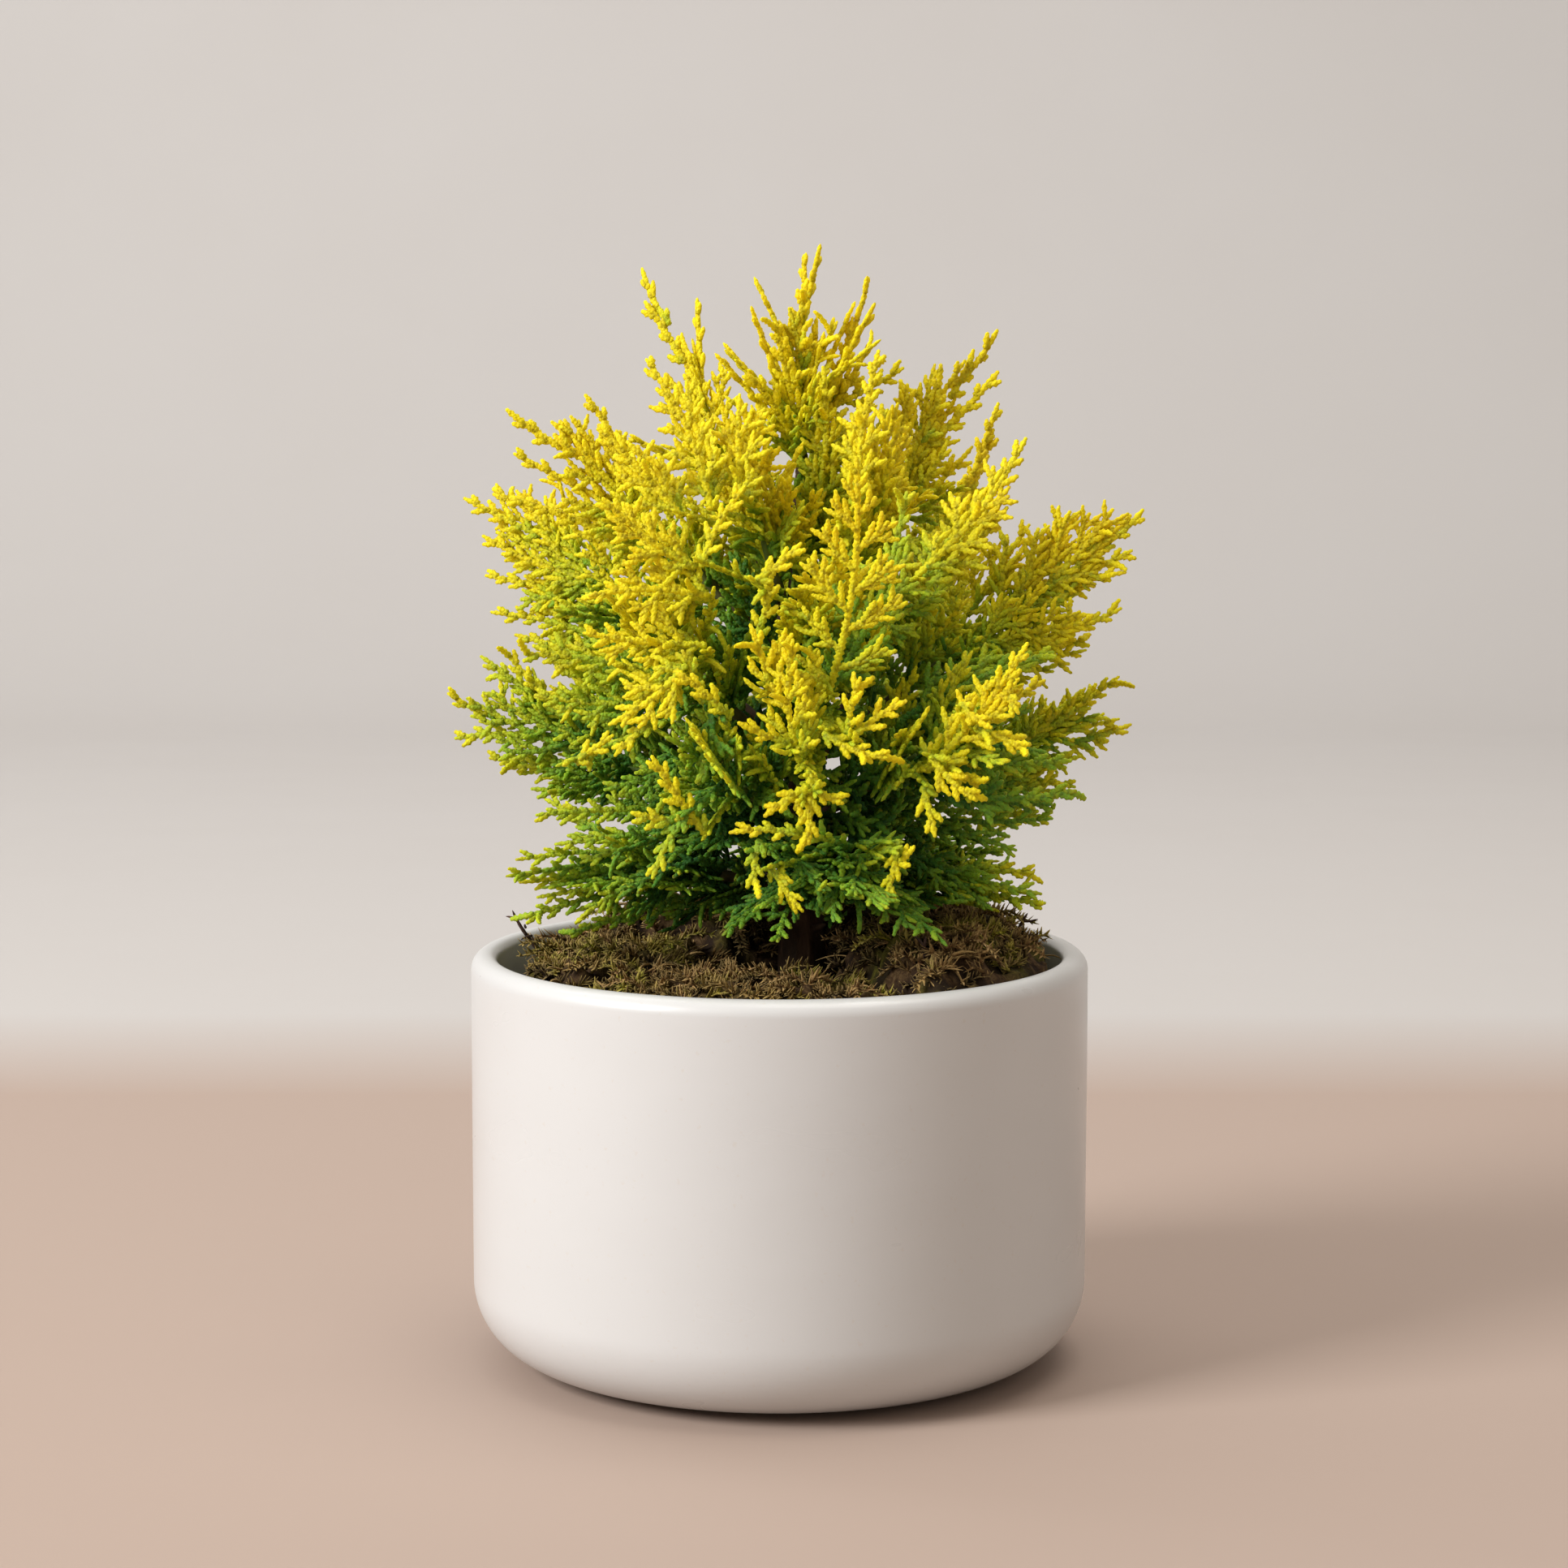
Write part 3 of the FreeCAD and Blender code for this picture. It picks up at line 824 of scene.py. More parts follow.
    def branch(self, x, heading, reach, width):
        """A side shoot, bent a little towards the tip, with its own alternating leaflets."""
        rng = self.rng
        slope = rng.uniform(-0.09, 0.09)
        turned = heading * rng.uniform(0.50, 0.92)
        start, half = np.array([x, 0.0, 0.0]), 0.5 * reach
        mid = start + (half * math.cos(heading), half * math.sin(heading), 0.4 * slope * reach)
        end = mid + (half * math.cos(turned), half * math.sin(turned), 0.6 * slope * reach)
        self.shoot(start, mid, end, width, 0.22, 0.25)
        if reach < 4.4 * MM:
            return
        at, side = rng.uniform(1.6, 2.6) * MM, rng.choice([-1, 1])
        while at < reach - 1.2 * MM:
            t = at / reach
            foot = start + (mid - start) * min(1, 2 * t) + (end - mid) * max(0, 2 * t - 1)
            turn = (heading if t < 0.5 else turned) + side * math.radians(35 + rng.uniform(-6, 6))
            length = 2.7 + 2.0 * math.sin(math.pi * min(1, 0.2 + 0.75 * t))
            length = min(length * rng.uniform(0.82, 1.15) * MM, 1.6 * MM + reach * (1 - t))
            self.leaflet(foot, turn, length, width * rng.uniform(0.86, 1.0))
            at += 1.52 * MM * rng.uniform(0.85, 1.25)
            side = -side

    def leaflet(self, foot, heading, length, width, small=False):
        """A short shoot, which may fork once."""
        rng = self.rng
        bent = heading * (1 + rng.uniform(-0.30, 0.06))
        rise = rng.uniform(-0.08, 0.14) * length
        half = 0.5 * length
        middle = foot + (half * math.cos(heading), half * math.sin(heading), 0.3 * rise)
        end = middle + (half * math.cos(bent), half * math.sin(bent), 0.7 * rise)
        self.shoot(foot, middle, end, width, 0.32, 0.4, rng.uniform(-0.05, 0.09))
        if not small and length > 4.6 * MM and rng.uniform() < 0.4:
            turn = heading + rng.choice([-1, 1]) * math.radians(rng.uniform(34, 50))
            length, root = rng.uniform(1.9, 2.8) * MM, foot + (middle - foot) * 0.9
            self.leaflet(root, turn, length, width * 0.94, small=True)


# Smaller sprays about each frame spray: how far along it each starts, its lift and its yaw in degrees.
COMPANIONS = ((0.06, 26, 26), (0.20, -16, -30), (0.36, 16, -20))
FEW_COMPANIONS = ("limb_03", "limb_13", "limb_20", "limb_21", "limb_22", "leader")

# How much of its frame spray's length a limb's own spray fills, where its plumes make up the rest.
FILLED = {"limb_20": 0.72, "limb_21": 0.70, "limb_22": 0.80, "leader": 0.74}
SLIM_TOPPED = ("limb_20", "limb_21")
SLIM_PLUMED = ("limb_16", "limb_20", "limb_21", "limb_22", "leader")

# Broad sprays that face the front: each limb's, by foot x, y and z, tip x, y and z and half width, all
# in mm, and how yellow it is.
FRONT_FANS = {
    "limb_01": (
        (6, -10, 110, 13, -34, 104, 5.5, 0.16), (6, -10, 114, 16, -30, 114, 5.5, 0.24),
        (5, -12, 112, -6, -32, 112, 5.5, 0.20), (23.2, -42, 113.4, 20.3, -44, 101, 1.8, 0.8),
        (22.7, -42, 108.7, 25.9, -45, 112.4, 1, 0.9), (-1.8, -48, 109.5, 4.7, -50, 100.5, 2.6, 0.8),
        (3.8, -48, 115.2, -9.3, -50, 115.9, 1.8, 0.8),
        (-3.7, -48, 114.2, -4.6, -50, 105.2, 2.2, 0.62),
    ),
    "limb_02": (
        (-17.5, -18, 116.2, -48.2, -26, 116.2, 4.5, 0.52),
        (-19.4, -22, 113.8, -44.3, -27, 111, 3.5, 0.5),
        (-21.4, -20, 111.6, -39.6, -24, 106.8, 3, 0.44),
        (-17.6, -16, 105.2, -52.2, -24, 107.2, 3.5, 0.5),
        (-23.4, -18, 104.5, -48.3, -24, 99.5, 3, 0.52),
        (-23.3, -22, 104.1, -39.5, -26, 95.4, 3.4, 0.5),
        (-15.5, -24, 107.2, -31.6, -30, 100.4, 3.4, 0.22),
    ),
    "limb_03": (
        (23.6, -14, 114.7, 54.5, -20, 115, 4, 0.36), (23.5, -16, 112, 47.1, -22, 108.9, 3.4, 0.36),
        (25.5, -14, 108.8, 52.6, -20, 99.4, 4.2, 0.42),
        (27.4, -16, 107.1, 42.8, -20, 94.5, 2.6, 0.34),
        (25.4, -18, 107.4, 37.4, -22, 97.3, 2.4, 0.34),
    ),
    "limb_07": (
        (-10.3, -42, 138, -19.2, -45, 145.8, 2.8, 0.92),
        (-14.1, -44, 114.6, -24.3, -48, 130.1, 3.6, 0.9),
        (-17.8, -46, 118.6, -24.7, -48, 106.7, 2.8, 0.62),
        (-18.7, -45, 117.6, -28.5, -47, 119.2, 2.2, 0.7),
        (-17.9, -42, 147.4, -32.8, -46, 136.5, 6.5, 0.9),
        (-24.4, -44, 136.3, -31.8, -46, 130.4, 2.6, 0.8),
        (-13.2, -40, 139.7, -15, -44, 125, 4.5, 0.4),
    ),
    "limb_08": (
        (11.7, -20, 120.3, 25.1, -28, 130.9, 6, 0.3), (23.4, -20, 133.9, 54.8, -16, 147.3, 7, 0.48),
        (13.6, -22, 114.7, 23, -32, 108.3, 5, 0.2), (28.9, -28, 122.2, 58.2, -34, 121.9, 4.6, 0.38),
        (28.9, -28, 128.9, 57.3, -34, 127.7, 4.6, 0.42),
        (28.6, -36, 126, 47.9, -46, 151.9, 6.5, 0.95),
        (35, -42, 139.9, 40.9, -46, 135.5, 2, 0.95), (37.8, -42, 135.1, 47, -46, 131.3, 2, 0.85),
        (29.3, -42, 129.5, 38, -46, 121.5, 4.5, 0.88), (42.5, -42, 145.5, 46, -46, 138.3, 2.4, 0.85),
        (27.9, -42, 123.8, 30.1, -46, 114.4, 3.4, 0.8),
    ),
    "limb_13": (
        (-1.9, -14, 151, -13.6, -20, 169, 6, 0.34), (-1.9, -14, 141.2, -17.4, -22, 151.6, 6, 0.34),
        (5, -12, 126, 12, -30, 118, 6, 0.34), (4, -14, 128, -6, -32, 122, 6, 0.34),
        (-3, -8, 143, -15, -10, 158, 6, 0.30), (9.6, -36, 141.2, 14.5, -52, 187.3, 14.5, 0.9),
        (3.8, -42, 128.5, 1.9, -50, 152.2, 6, 0.9), (-1.8, -42, 141.7, -6, -46, 154.8, 4, 0.92),
        (-1.8, -42, 142.7, 1.5, -45, 154.7, 3, 0.9), (13.2, -44, 133.5, 15, -48, 145.1, 4, 0.9),
        (14.2, -44, 133.5, 24.4, -48, 140.9, 4, 0.92), (8.5, -44, 134.4, 20.6, -49, 130.2, 2.5, 0.9),
        (6.2, -46, 127.1, 5.7, -50, 113.5, 3.6, 0.9), (5.7, -47, 124.4, -2.7, -50, 119.1, 1.8, 0.9),
        (6.6, -47, 124.4, 12.2, -49, 121.3, 1.5, 0.86), (1.9, -44, 132.5, -7.9, -47, 136.6, 2.6, 0.9),
        (-4.7, -38, 151.8, -1.8, -42, 167.7, 3.2, 0.84), (-4.7, -40, 163.3, 3.8, -42, 171, 3, 0.92),
        (9.5, -40, 144.4, -0.9, -45, 144.4, 3, 0.88),
    ),
    "limb_14": (
        (-23.5, -16, 143.3, -50.7, -18, 147.4, 6, 0.62),
        (-23.5, -16, 137.5, -48.8, -18, 139.6, 6, 0.56),
        (-13.7, -16, 129.6, -34.8, -24, 120.8, 5.5, 0.36),
        (-14.2, -36, 150.7, -37.7, -42, 153.5, 7.5, 0.95),
        (-13.3, -34, 160.1, -36.8, -40, 160.5, 7.5, 0.98),
        (-16.2, -34, 165.8, -34.1, -38, 179.3, 6.5, 0.98),
        (-39.7, -40, 128.3, -32, -42, 133.7, 2.4, 0.85),
    ),
    "leader": (
        (7, -6, 174, 8.5, -12, 204, 5.5, 0.80), (5.5, -3, 164, 11, -8, 194, 6.5, 0.62),
        (5, 3, 166, 13, 5, 190, 6, 0.55), (4, -4, 160, -6, -8, 190, 6, 0.62),
    ),
    "limb_19": (
        (9.9, -8, 166.4, 21.8, -6, 196.1, 6.5, 0.7), (11.9, -10, 150.7, 33.4, -14, 160.8, 6.5, 0.5),
        (15, -26, 177, 19.5, -20, 207.9, 4.5, 1), (27, -26, 163.5, 47.9, -24, 191.4, 6.5, 0.92),
        (29, -26, 161.5, 45, -24, 176.9, 4, 0.8),
    ),
    "limb_23": (
        (-15.1, -38, 166, -7, -40, 181.8, 4, 0.94), (-13.4, -30, 177.1, -26.4, -28, 205.9, 5.5, 0.97),
        (-19.1, -32, 175.3, -35.4, -32, 192.5, 6, 0.97),
        (-7.6, -30, 179, -7.7, -28, 199.2, 6.5, 0.97),
    ),
}

# Long slim plumes that stand out of the crown's outline: each limb's, by where the tips are, x and z
# in mm. A plume lies in its limb's own upright plane.
PLUMES = {
    "limb_02": ((-41, 91), (-50, 96), (-54, 104), (-51, 102)),
    "limb_03": ((54, 97), (51, 103), (45, 91.5)),
    "limb_04": ((39, 93), (56, 112), (49, 109)),
    "limb_06": ((-51, 112), (-46, 108), (-41, 105)),
    "limb_09": ((73, 131), (69, 142), (66, 138), (58, 135), (62, 125), (61, 118), (56, 112)),
    "limb_12": (
        (-68, 138), (-67, 129), (-61, 146), (-56, 146), (-52, 142), (-60, 124), (-56, 122),
        (-51, 118), (-50, 149),
    ),
    "limb_15": ((73, 176), (71, 168), (70, 163), (69, 156), (61, 175), (66, 175), (58, 171), (62, 150)),
    "limb_16": ((47, 197), (45, 191), (43, 187), (46, 180)),
    "limb_18": (
        (-66, 177), (-62, 169), (-62, 162), (-61, 153), (-55, 179), (-58, 166), (-50, 147),
        (-56, 149), (-47, 142),
    ),
    "limb_20": ((45, 212), (40, 208), (45, 203), (33, 205), (26, 201), (34, 198)),
    "limb_21": ((-29, 225), (-28, 218), (-18, 218.5), (-20, 211), (-23, 203)),
    "limb_22": ((-55, 196), (-46, 193.5), (-39, 199), (-36, 191), (-54, 186), (-40, 190), (-54, 179)),
    "leader": (
        (-7, 216), (-3, 223), (1, 214), (5, 227), (8, 229), (14, 218), (21, 221), (21, 216),
        (-10, 210), (-13, 207), (9, 214), (20, 208),
    ),
}
PLUME_LONG = 36 * MM
PLUME_ANGLE = 30

# Sprays leave a limb from this share of its reach on.
FIRST_LEAF = 0.22
INNER_SPRAYS = 6
# Front sprays with a half width above the first have backers: each leans back by some degrees and has a
# share of the length. Those above the second have much greener ones.
BACKED_FROM, VERY_WIDE = 4.4 * MM, 10 * MM
BACKERS = ((-20, 0.84), (-46, 0.70))

# The skirts of the limbs with a socket below a height: how many sprays, the degrees between them, how
# far out in mm their feet are, how far they drop, and their shortest and longest in mm.
SKIRT_BELOW = 112 * MM
SIDE_SKIRT = (4, 30, 16, 0.40, (15, 22))
FULL_SKIRT = (9, 15, 26, 0.50, (24, 36))


def foliage(limb, number):
    """All of a limb's sprays: one in each flat spray of the frame, with smaller ones about it."""
    rng = np.random.RandomState(1000 + number)
    shift, vigour = GOLD_SHIFT.get(limb.name, 0.0), LEAF_SIZE.get(limb.name, 1.0)
    tubes = Tubes(blunt=True, pebbled=0.09)
    companions = COMPANIONS[:2] if limb.name in FEW_COMPANIONS else COMPANIONS
    slim = limb.name in SLIM_TOPPED
    for fan in limb.sprays:
        full = fan.length * FILLED.get(limb.name, 0.94)
        Spray(
            tubes, rng, fan.root, fan.along, fan.normal, full, fan.half_width, shift, vigour, slim=slim
        )
        outward = unit((fan.root + fan.along * fan.length / 2 - TRUNK_CENTRE) * (1, 1, 0))
        level = unit(np.cross(fan.along, Z_AXIS))
        steep = math.degrees(math.asin(fan.along[2]))
        for share, lift, yaw in companions:
            share += rng.uniform(-0.04, 0.04)
            lift = min(lift * rng.uniform(0.6, 1.3), max(5.0, 84 - steep))
            along = rotated(fan.along, level, lift)
            along = rotated(along, fan.normal, yaw * rng.uniform(0.5, 1.3))
            face = unit(fan.normal + outward * rng.uniform(0.2, 1.4))
            normal = square_to(along, face, rng.uniform(-30, 30))
            length = full * (1 - share) * rng.uniform(0.66, 0.90)
            Spray(
                tubes, rng, fan.root + fan.along * fan.length * share, along, normal, length,
                min(fan.half_width, 0.26 * length), shift - 0.04 - 0.10 * (lift < 0), vigour * 0.96,
            )
    front_fans(tubes, rng, limb, vigour)
    plumes(tubes, rng, limb, shift, vigour)
    inner_sprays(tubes, rng, limb, shift, vigour)
    if limb.socket[2] < SKIRT_BELOW:
        skirt(tubes, rng, limb, shift, vigour)
    return tubes


def front_fans(tubes, rng, limb, vigour):
    """The limb's broad sprays that face the front, each on a leafy stem, the wider ones backed up."""
    for row in FRONT_FANS.get(limb.name, ()):
        foot, tip = np.array(row[:3]) * MM, np.array(row[3:6]) * MM
        half_width, gold = row[6] * MM, row[7]
        length, heading = np.linalg.norm(tip - foot), unit(tip - foot)
        front = unit(np.cross(heading, np.cross((rng.uniform(-0.6, 0.05), -1.0, 0.3), heading)))
        broad = vigour * rng.uniform(0.98, 1.10)
        Spray(tubes, rng, foot, heading, front, length, half_width, 0.0, broad, gold=gold - 0.04)
        across = np.cross(heading, front)
        behind_gold = gold - (0.40 if half_width > VERY_WIDE else 0.16)
        for tilt, share in BACKERS if half_width > BACKED_FROM else ():
            leant = rotated(heading, across, tilt + rng.uniform(-6, 6))
            leant = rotated(leant, front, rng.uniform(-14, 14))
            normal = square_to(leant, front, rng.uniform(-45, 45))
            behind = foot - front * rng.uniform(1.0, 3.0) * MM
            Spray(
                tubes, rng, behind, leant, normal, length * share, min(half_width * 0.7, BROAD), 0.0,
                vigour, gold=behind_gold,
            )
        stem(tubes, rng, limb, foot, gold)


def stem(tubes, rng, limb, foot, gold):
    """A leafy stem from the limb to the foot of one of its sprays."""
    reach, off = limb.measure(foot)
    start = limb.at(min(max(reach - 0.8 * off, FIRST_LEAF * limb.reach), 0.8 * limb.reach))
    length, heading = np.linalg.norm(foot - start), unit(foot - start)
    if length > 4 * MM:
        normal = unit(np.cross(heading, np.cross(Z_AXIS + 0.4 * rng.normal(size=3), heading)))
        gold = max(0.1, gold - 0.34)
        Spray(tubes, rng, start, heading, normal, length * 1.12, 3.6 * MM, 0.0, 1.0, gold=gold)


def plumes(tubes, rng, limb, shift, vigour):
    """The limb's long plumes, each from where its line meets the limb to its own tip."""
    slim = limb.name in SLIM_PLUMED
    half_width, stout = (0.13, 1.16) if slim else (0.16, 1.12)
    for x, z in PLUMES.get(limb.name, ()):
        if limb.name == "leader":
            y = rng.uniform(-6, 2) * MM
        else:
            y = (x * MM - TRUNK_CENTRE[0]) * limb.along[1] / limb.along[0] + rng.uniform(-2, 2) * MM
        tip = np.array([x * MM, y, z * MM])
        reach, off = limb.measure(tip)
        back = reach - off / math.tan(math.radians(PLUME_ANGLE)) - 10 * MM
        foot = limb.at(min(max(FIRST_LEAF * limb.reach, back), reach - 8 * MM))
        length, heading = min(PLUME_LONG, np.linalg.norm(tip - foot)), unit(tip - foot)
        normal = square_to(heading, limb.side, rng.uniform(-35, 35))
        Spray(
            tubes, rng, tip - heading * length, heading, normal, length, half_width * length,
            shift + 0.02, vigour * stout, slim=slim,
        )


def inner_sprays(tubes, rng, limb, shift, vigour):
    """Short green sprays along the bare stretch of the twig."""
    for k in range(INNER_SPRAYS):
        root = limb.at(limb.bare * (0.26 + 0.66 * k / (INNER_SPRAYS - 1)))
        out = rotated(limb.side, limb.along, k * GOLDEN_ANGLE + rng.uniform(-20, 20))
        heading = unit(limb.along * 0.8 + out * 0.8)
        normal = unit(np.cross(heading, np.cross(limb.along, out)) + 0.3 * rng.normal(size=3))
        length, half_width = rng.uniform(16, 24) * MM, rng.uniform(4.5, 6.5) * MM
        gold = min(shift, 0.0) - 0.18
        Spray(tubes, rng, root, heading, normal, length, half_width, gold, vigour * 0.95)


def skirt(tubes, rng, limb, shift, vigour):
    """A low limb's green sprays that hang out over the moss, but not in front of the trunk's foot."""
    count, apart, feet, drop, lengths = SIDE_SKIRT if abs(limb.along[0]) > 0.75 else FULL_SKIRT
    for k in range(count):
        if limb.along[1] < -0.75 and k in (3, 4, 5):
            continue
        root = limb.at(rng.uniform(6, feet) * MM)
        yaw = (k - (count - 1) / 2) * apart + rng.uniform(-6, 6)
        heading = rotated(unit(limb.along * (1, 1, 0)), Z_AXIS, yaw)
        heading = heading - Z_AXIS * rng.uniform(0.12, drop)
        normal = rotated(unit(Z_AXIS + heading * 0.2), unit(heading), rng.uniform(-40, 40))
        length, half_width = rng.uniform(*lengths) * MM, rng.uniform(5.5, 8) * MM
        Spray(tubes, rng, root, heading, normal, length, half_width, min(shift, 0.0) - 0.10, vigour)


def twig(limb, number):
    """The limb's bark-covered stem, from inside its socket to where its end spray starts."""
    rng = np.random.RandomState(3000 + number)
    tubes = Tubes(sides=10)
    start, nudge = limb.socket - limb.along * 0.4 * MM, rng.uniform(-1, 1, 3) * 0.8 * MM
    tubes.rod(start, limb.at(limb.bare), nudge, 1.30 * MM, 40, 0.10, 0.30, PLAIN)
    return tubes


# ---------------------------------------------------------------- trunk, moss, soil and pot

TRUNK_FOOT_R = 4.4 * MM
TRUNK_TOP_R = 2.2 * MM
TAPER_FROM = 84 * MM
FLARE_TOP = 88 * MM
BARK_FROM = 0.070
BARK_ROWS, BARK_TURNS = 240, 56


def trunk(limbs):
    """The bark sleeve with ridges and knots, root ridges at its foot, and a collar for each limb."""
    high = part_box("trunk_bark")[1].z - 0.2 * MM
    verts = []
    for i in range(BARK_ROWS + 1):
        z = BARK_FROM + (high - BARK_FROM) * i / BARK_ROWS
        share = max(0.0, (z - TAPER_FROM) / (high - TAPER_FROM))
        radius = TRUNK_FOOT_R + (TRUNK_TOP_R - TRUNK_FOOT_R) * share
        flare = max(0.0, (FLARE_TOP - z) / (FLARE_TOP - COIR_TOP))
        for k in range(BARK_TURNS):
            a = 2 * math.pi * k / BARK_TURNS
            x, y = polar(1, a)
            ridge = wave(x * 2.4, y * 2.4, z * 70) + 0.5 * wave(x * 6, y * 6, z * 160 + 5)
            knot = max(0.0, wave(x * 1.3 + 9, y * 1.3, z * 90) - 0.25)
            roots = 0.45 + 0.55 * max(0.0, math.sin(3 * a + 0.6) + 0.4 * math.sin(5 * a))
            r = radius * (1 + 0.13 * ridge + 0.35 * knot) + flare**1.6 * 2.2 * MM * roots
            verts.append((TRUNK_CENTRE[0] + r * x, TRUNK_CENTRE[1] + r * y, z))
    last = BARK_ROWS * BARK_TURNS
    faces = grid(BARK_ROWS, BARK_TURNS) + [range(BARK_TURNS)[::-1], range(last, last + BARK_TURNS)]
    tubes = Tubes(sides=12)
    for limb in limbs:
        start, end = limb.socket - limb.along * 2.6 * MM, limb.socket + limb.along * 1.5 * MM
        tubes.rod(start, end, 0, 1.95 * MM, 8, 0.16, 0.02, PLAIN)
    dead_stubs(tubes)
    tube_verts, quads, tris, _ = tubes.build()
    faces += (quads + len(verts)).tolist() + (tris + len(verts)).tolist()
    return mesh_object("trunk_bark_skin", verts + list(tube_verts), faces)


def dead_stubs(tubes):
    """Short snags where lower limbs have been cut away."""
    rng = np.random.RandomState(77)
    for k in range(7):
        angle = math.radians(k * GOLDEN_ANGLE - 100)
        foot = TRUNK_CENTRE + Z_AXIS * rng.uniform(88, 97) * MM
        out = unit((*polar(1, angle), rng.uniform(-0.1, 0.5)))
        end = foot + out * rng.uniform(6, 9.5) * MM
        tubes.rod(foot, end, rng.uniform(-0.6, 0.6, 3) * MM, 1.0 * MM, 8, 0.12, 0.35, PLAIN)


def frond(tubes, rng, foot, heading, length, green, rise, tone):
    """One curled moss frond: a stem that arches over, bristling with short leaflets on three sides."""
    flat = np.array([*polar(1, heading), 0.0])
    side = np.array([-flat[1], flat[0], 0.0])
    curl = side * rng.uniform(-0.35, 0.35) * length
    p0 = foot - Z_AXIS * 1.0 * MM
    p1 = foot + flat * length * 0.42 + Z_AXIS * rise + curl * 0.4
    p2 = foot + flat * length * 0.92 + Z_AXIS * rise * rng.uniform(-0.6, 0.55) + curl * 1.6
    thick = rng.uniform(0.32, 0.46) * MM
    tubes.add(p0, p1, p2, Z_AXIS, thick, thick, 6, 0.0, 0.5, (0.1, tone, green, 1))
    count = max(4, int(length / (0.98 * MM)))
    for k in range(count):
        t = 0.12 + 0.88 * (k + rng.uniform(0, 0.8)) / count
        at = (1 - t) ** 2 * p0 + 2 * t * (1 - t) * p1 + t * t * p2
        tangent = unit(2 * (1 - t) * (p1 - p0) + 2 * t * (p2 - p1))
        for out in (side, -side, Z_AXIS):
            lean = unit(tangent * rng.uniform(0.5, 1.1) + out + rng.uniform(-0.35, 0.35, 3))
            end = at + lean * rng.uniform(1.6, 3.0) * (1.15 - 0.6 * t) * MM
            width, age = rng.uniform(0.42, 0.66) * MM, rng.uniform(0.35, 0.95)
            tubes.rod(at, end, Z_AXIS * 0.12 * MM, width, 2, 0.0, 0.4, (age, tone, green, 1), flat=0.4)


def moss_piece(pad, number):
    """A lumpy cushion of moss, thick with fronds and loose strands."""
    rng = np.random.RandomState(500 + number)
    tubes = Tubes(sides=3)
    low, high = pad.start + 2, pad.stop - 2
    area = math.radians(pad.stop - pad.start) / 2 * (pad.outer**2 - pad.inner**2)
    for _ in range(int(area / FROND_AREA)):
        angle = math.radians(rng.uniform(low, high))
        radius = math.sqrt(rng.uniform((pad.inner + MM) ** 2, (pad.outer - 2 * MM) ** 2))
        x, y = polar(radius, angle)
        green = clamped(pad.green(x, y) + rng.uniform(-0.2, 0.25))
        length, heading = rng.uniform(5.0, 11.0) * MM, rng.uniform(0, 2 * math.pi)
        run_x, run_y = polar(length, heading)
        if math.hypot(x + run_x, y + run_y) > pad.outer:
            heading = angle + math.pi * rng.uniform(0.6, 1.4)
        # A frond in a hollow gets painted shade through its tone, with some random tone on top.
        tone = clamped(pad.hollow_shade(x, y) * 1.1 + rng.uniform(-0.35, 0.30))
        foot, rise = np.array([x, y, pad.height(x, y)]), rng.uniform(1.6, 5.4) * MM
        frond(tubes, rng, foot, heading, length, green, rise, tone)
    for _ in range(int(area / STRAND_AREA)):
        angle = math.radians(rng.uniform(low, high))
        x, y = polar(rng.uniform(pad.inner + 2 * MM, pad.outer - 2 * MM), angle)
        foot = np.array([x, y, pad.height(x, y) + 0.1 * MM])
        flat = np.array([*polar(1, rng.uniform(0, 2 * math.pi)), 0.0])
        end = foot + flat * rng.uniform(3, 8) * MM + Z_AXIS * rng.uniform(-1.0, 1.6) * MM
        nudge = rng.uniform(-1.6, 1.6, 3) * MM * (1, 1, 0.4) + Z_AXIS * 1.2 * MM
        width, tone = rng.uniform(0.18, 0.42) * MM, rng.uniform(0, 0.5)
        tubes.rod(foot, end, nudge, width, 7, 0.0, 0.5, (0.75, tone, 0.05, 1))
    return tubes.joined(pad.node + "_tufts", *pad.surface())


def mound(x, y):
    """How much higher than its rim the coir is at a place, heaped about the trunk's foot."""
    from_trunk = math.hypot(x - TRUNK_CENTRE[0], y)
    return HEAP * max(0.0, 1 - max(0.0, from_trunk - HEAP_LEVEL_R) / HEAP_SLOPE) * 0.9


def soil():
    """Crumbly coir, heaped about the trunk's foot, with loose crumbs and fibres on it."""
    rng = np.random.RandomState(9)
    rings, turns, crumbs = 74, 210, 900
    verts = []
    for i in range(rings + 1):
        for j in range(turns):
            x, y = polar(COIR_R * i / rings, 2 * math.pi * j / turns)
            rough = 1.1 * noise_at(x, y, 0.4, 380) + 0.7 * noise_at(x, y, 0.9, 1100)
            verts.append((x, y, COIR_TOP - 1.2 * MM + mound(x, y) + rough * MM))
    faces = [(a, d, c, b) for a, b, c, d in grid(rings, turns)]
    tubes = Tubes(sides=5)
    for _ in range(crumbs):
        x, y = polar(COIR_R * math.sqrt(rng.uniform(0, 0.96)), rng.uniform(0, 2 * math.pi))
        foot = np.array([x, y, COIR_TOP - 0.8 * MM + mound(x, y)])
        heading, size = rng.uniform(0, 2 * math.pi), rng.uniform(0.5, 3.4) * MM
        end = foot + np.array([*polar(1, heading), rng.uniform(0, 0.5)]) * size
        width, tone = rng.uniform(0.16, 0.7) * MM, rng.uniform(0, 1)
        tubes.rod(foot, end, Z_AXIS * 0.4 * MM, width, 4, 0.2, 0.4, (0.3, tone, 0.1, 1), flat=0.8)
    return tubes.joined("coir_soil", verts, faces, [(0.2, 0.5, 0.1, 1)] * len(verts))


POT_FOOT_ROUND = 16 * MM
POT_LIP_OUT = 3.2 * MM
POT_LIP_IN = 1.9 * MM
POT_WALL = 5.4 * MM
POT_FLOOR = 6.8 * MM
POT_INNER_ROUND = 11 * MM


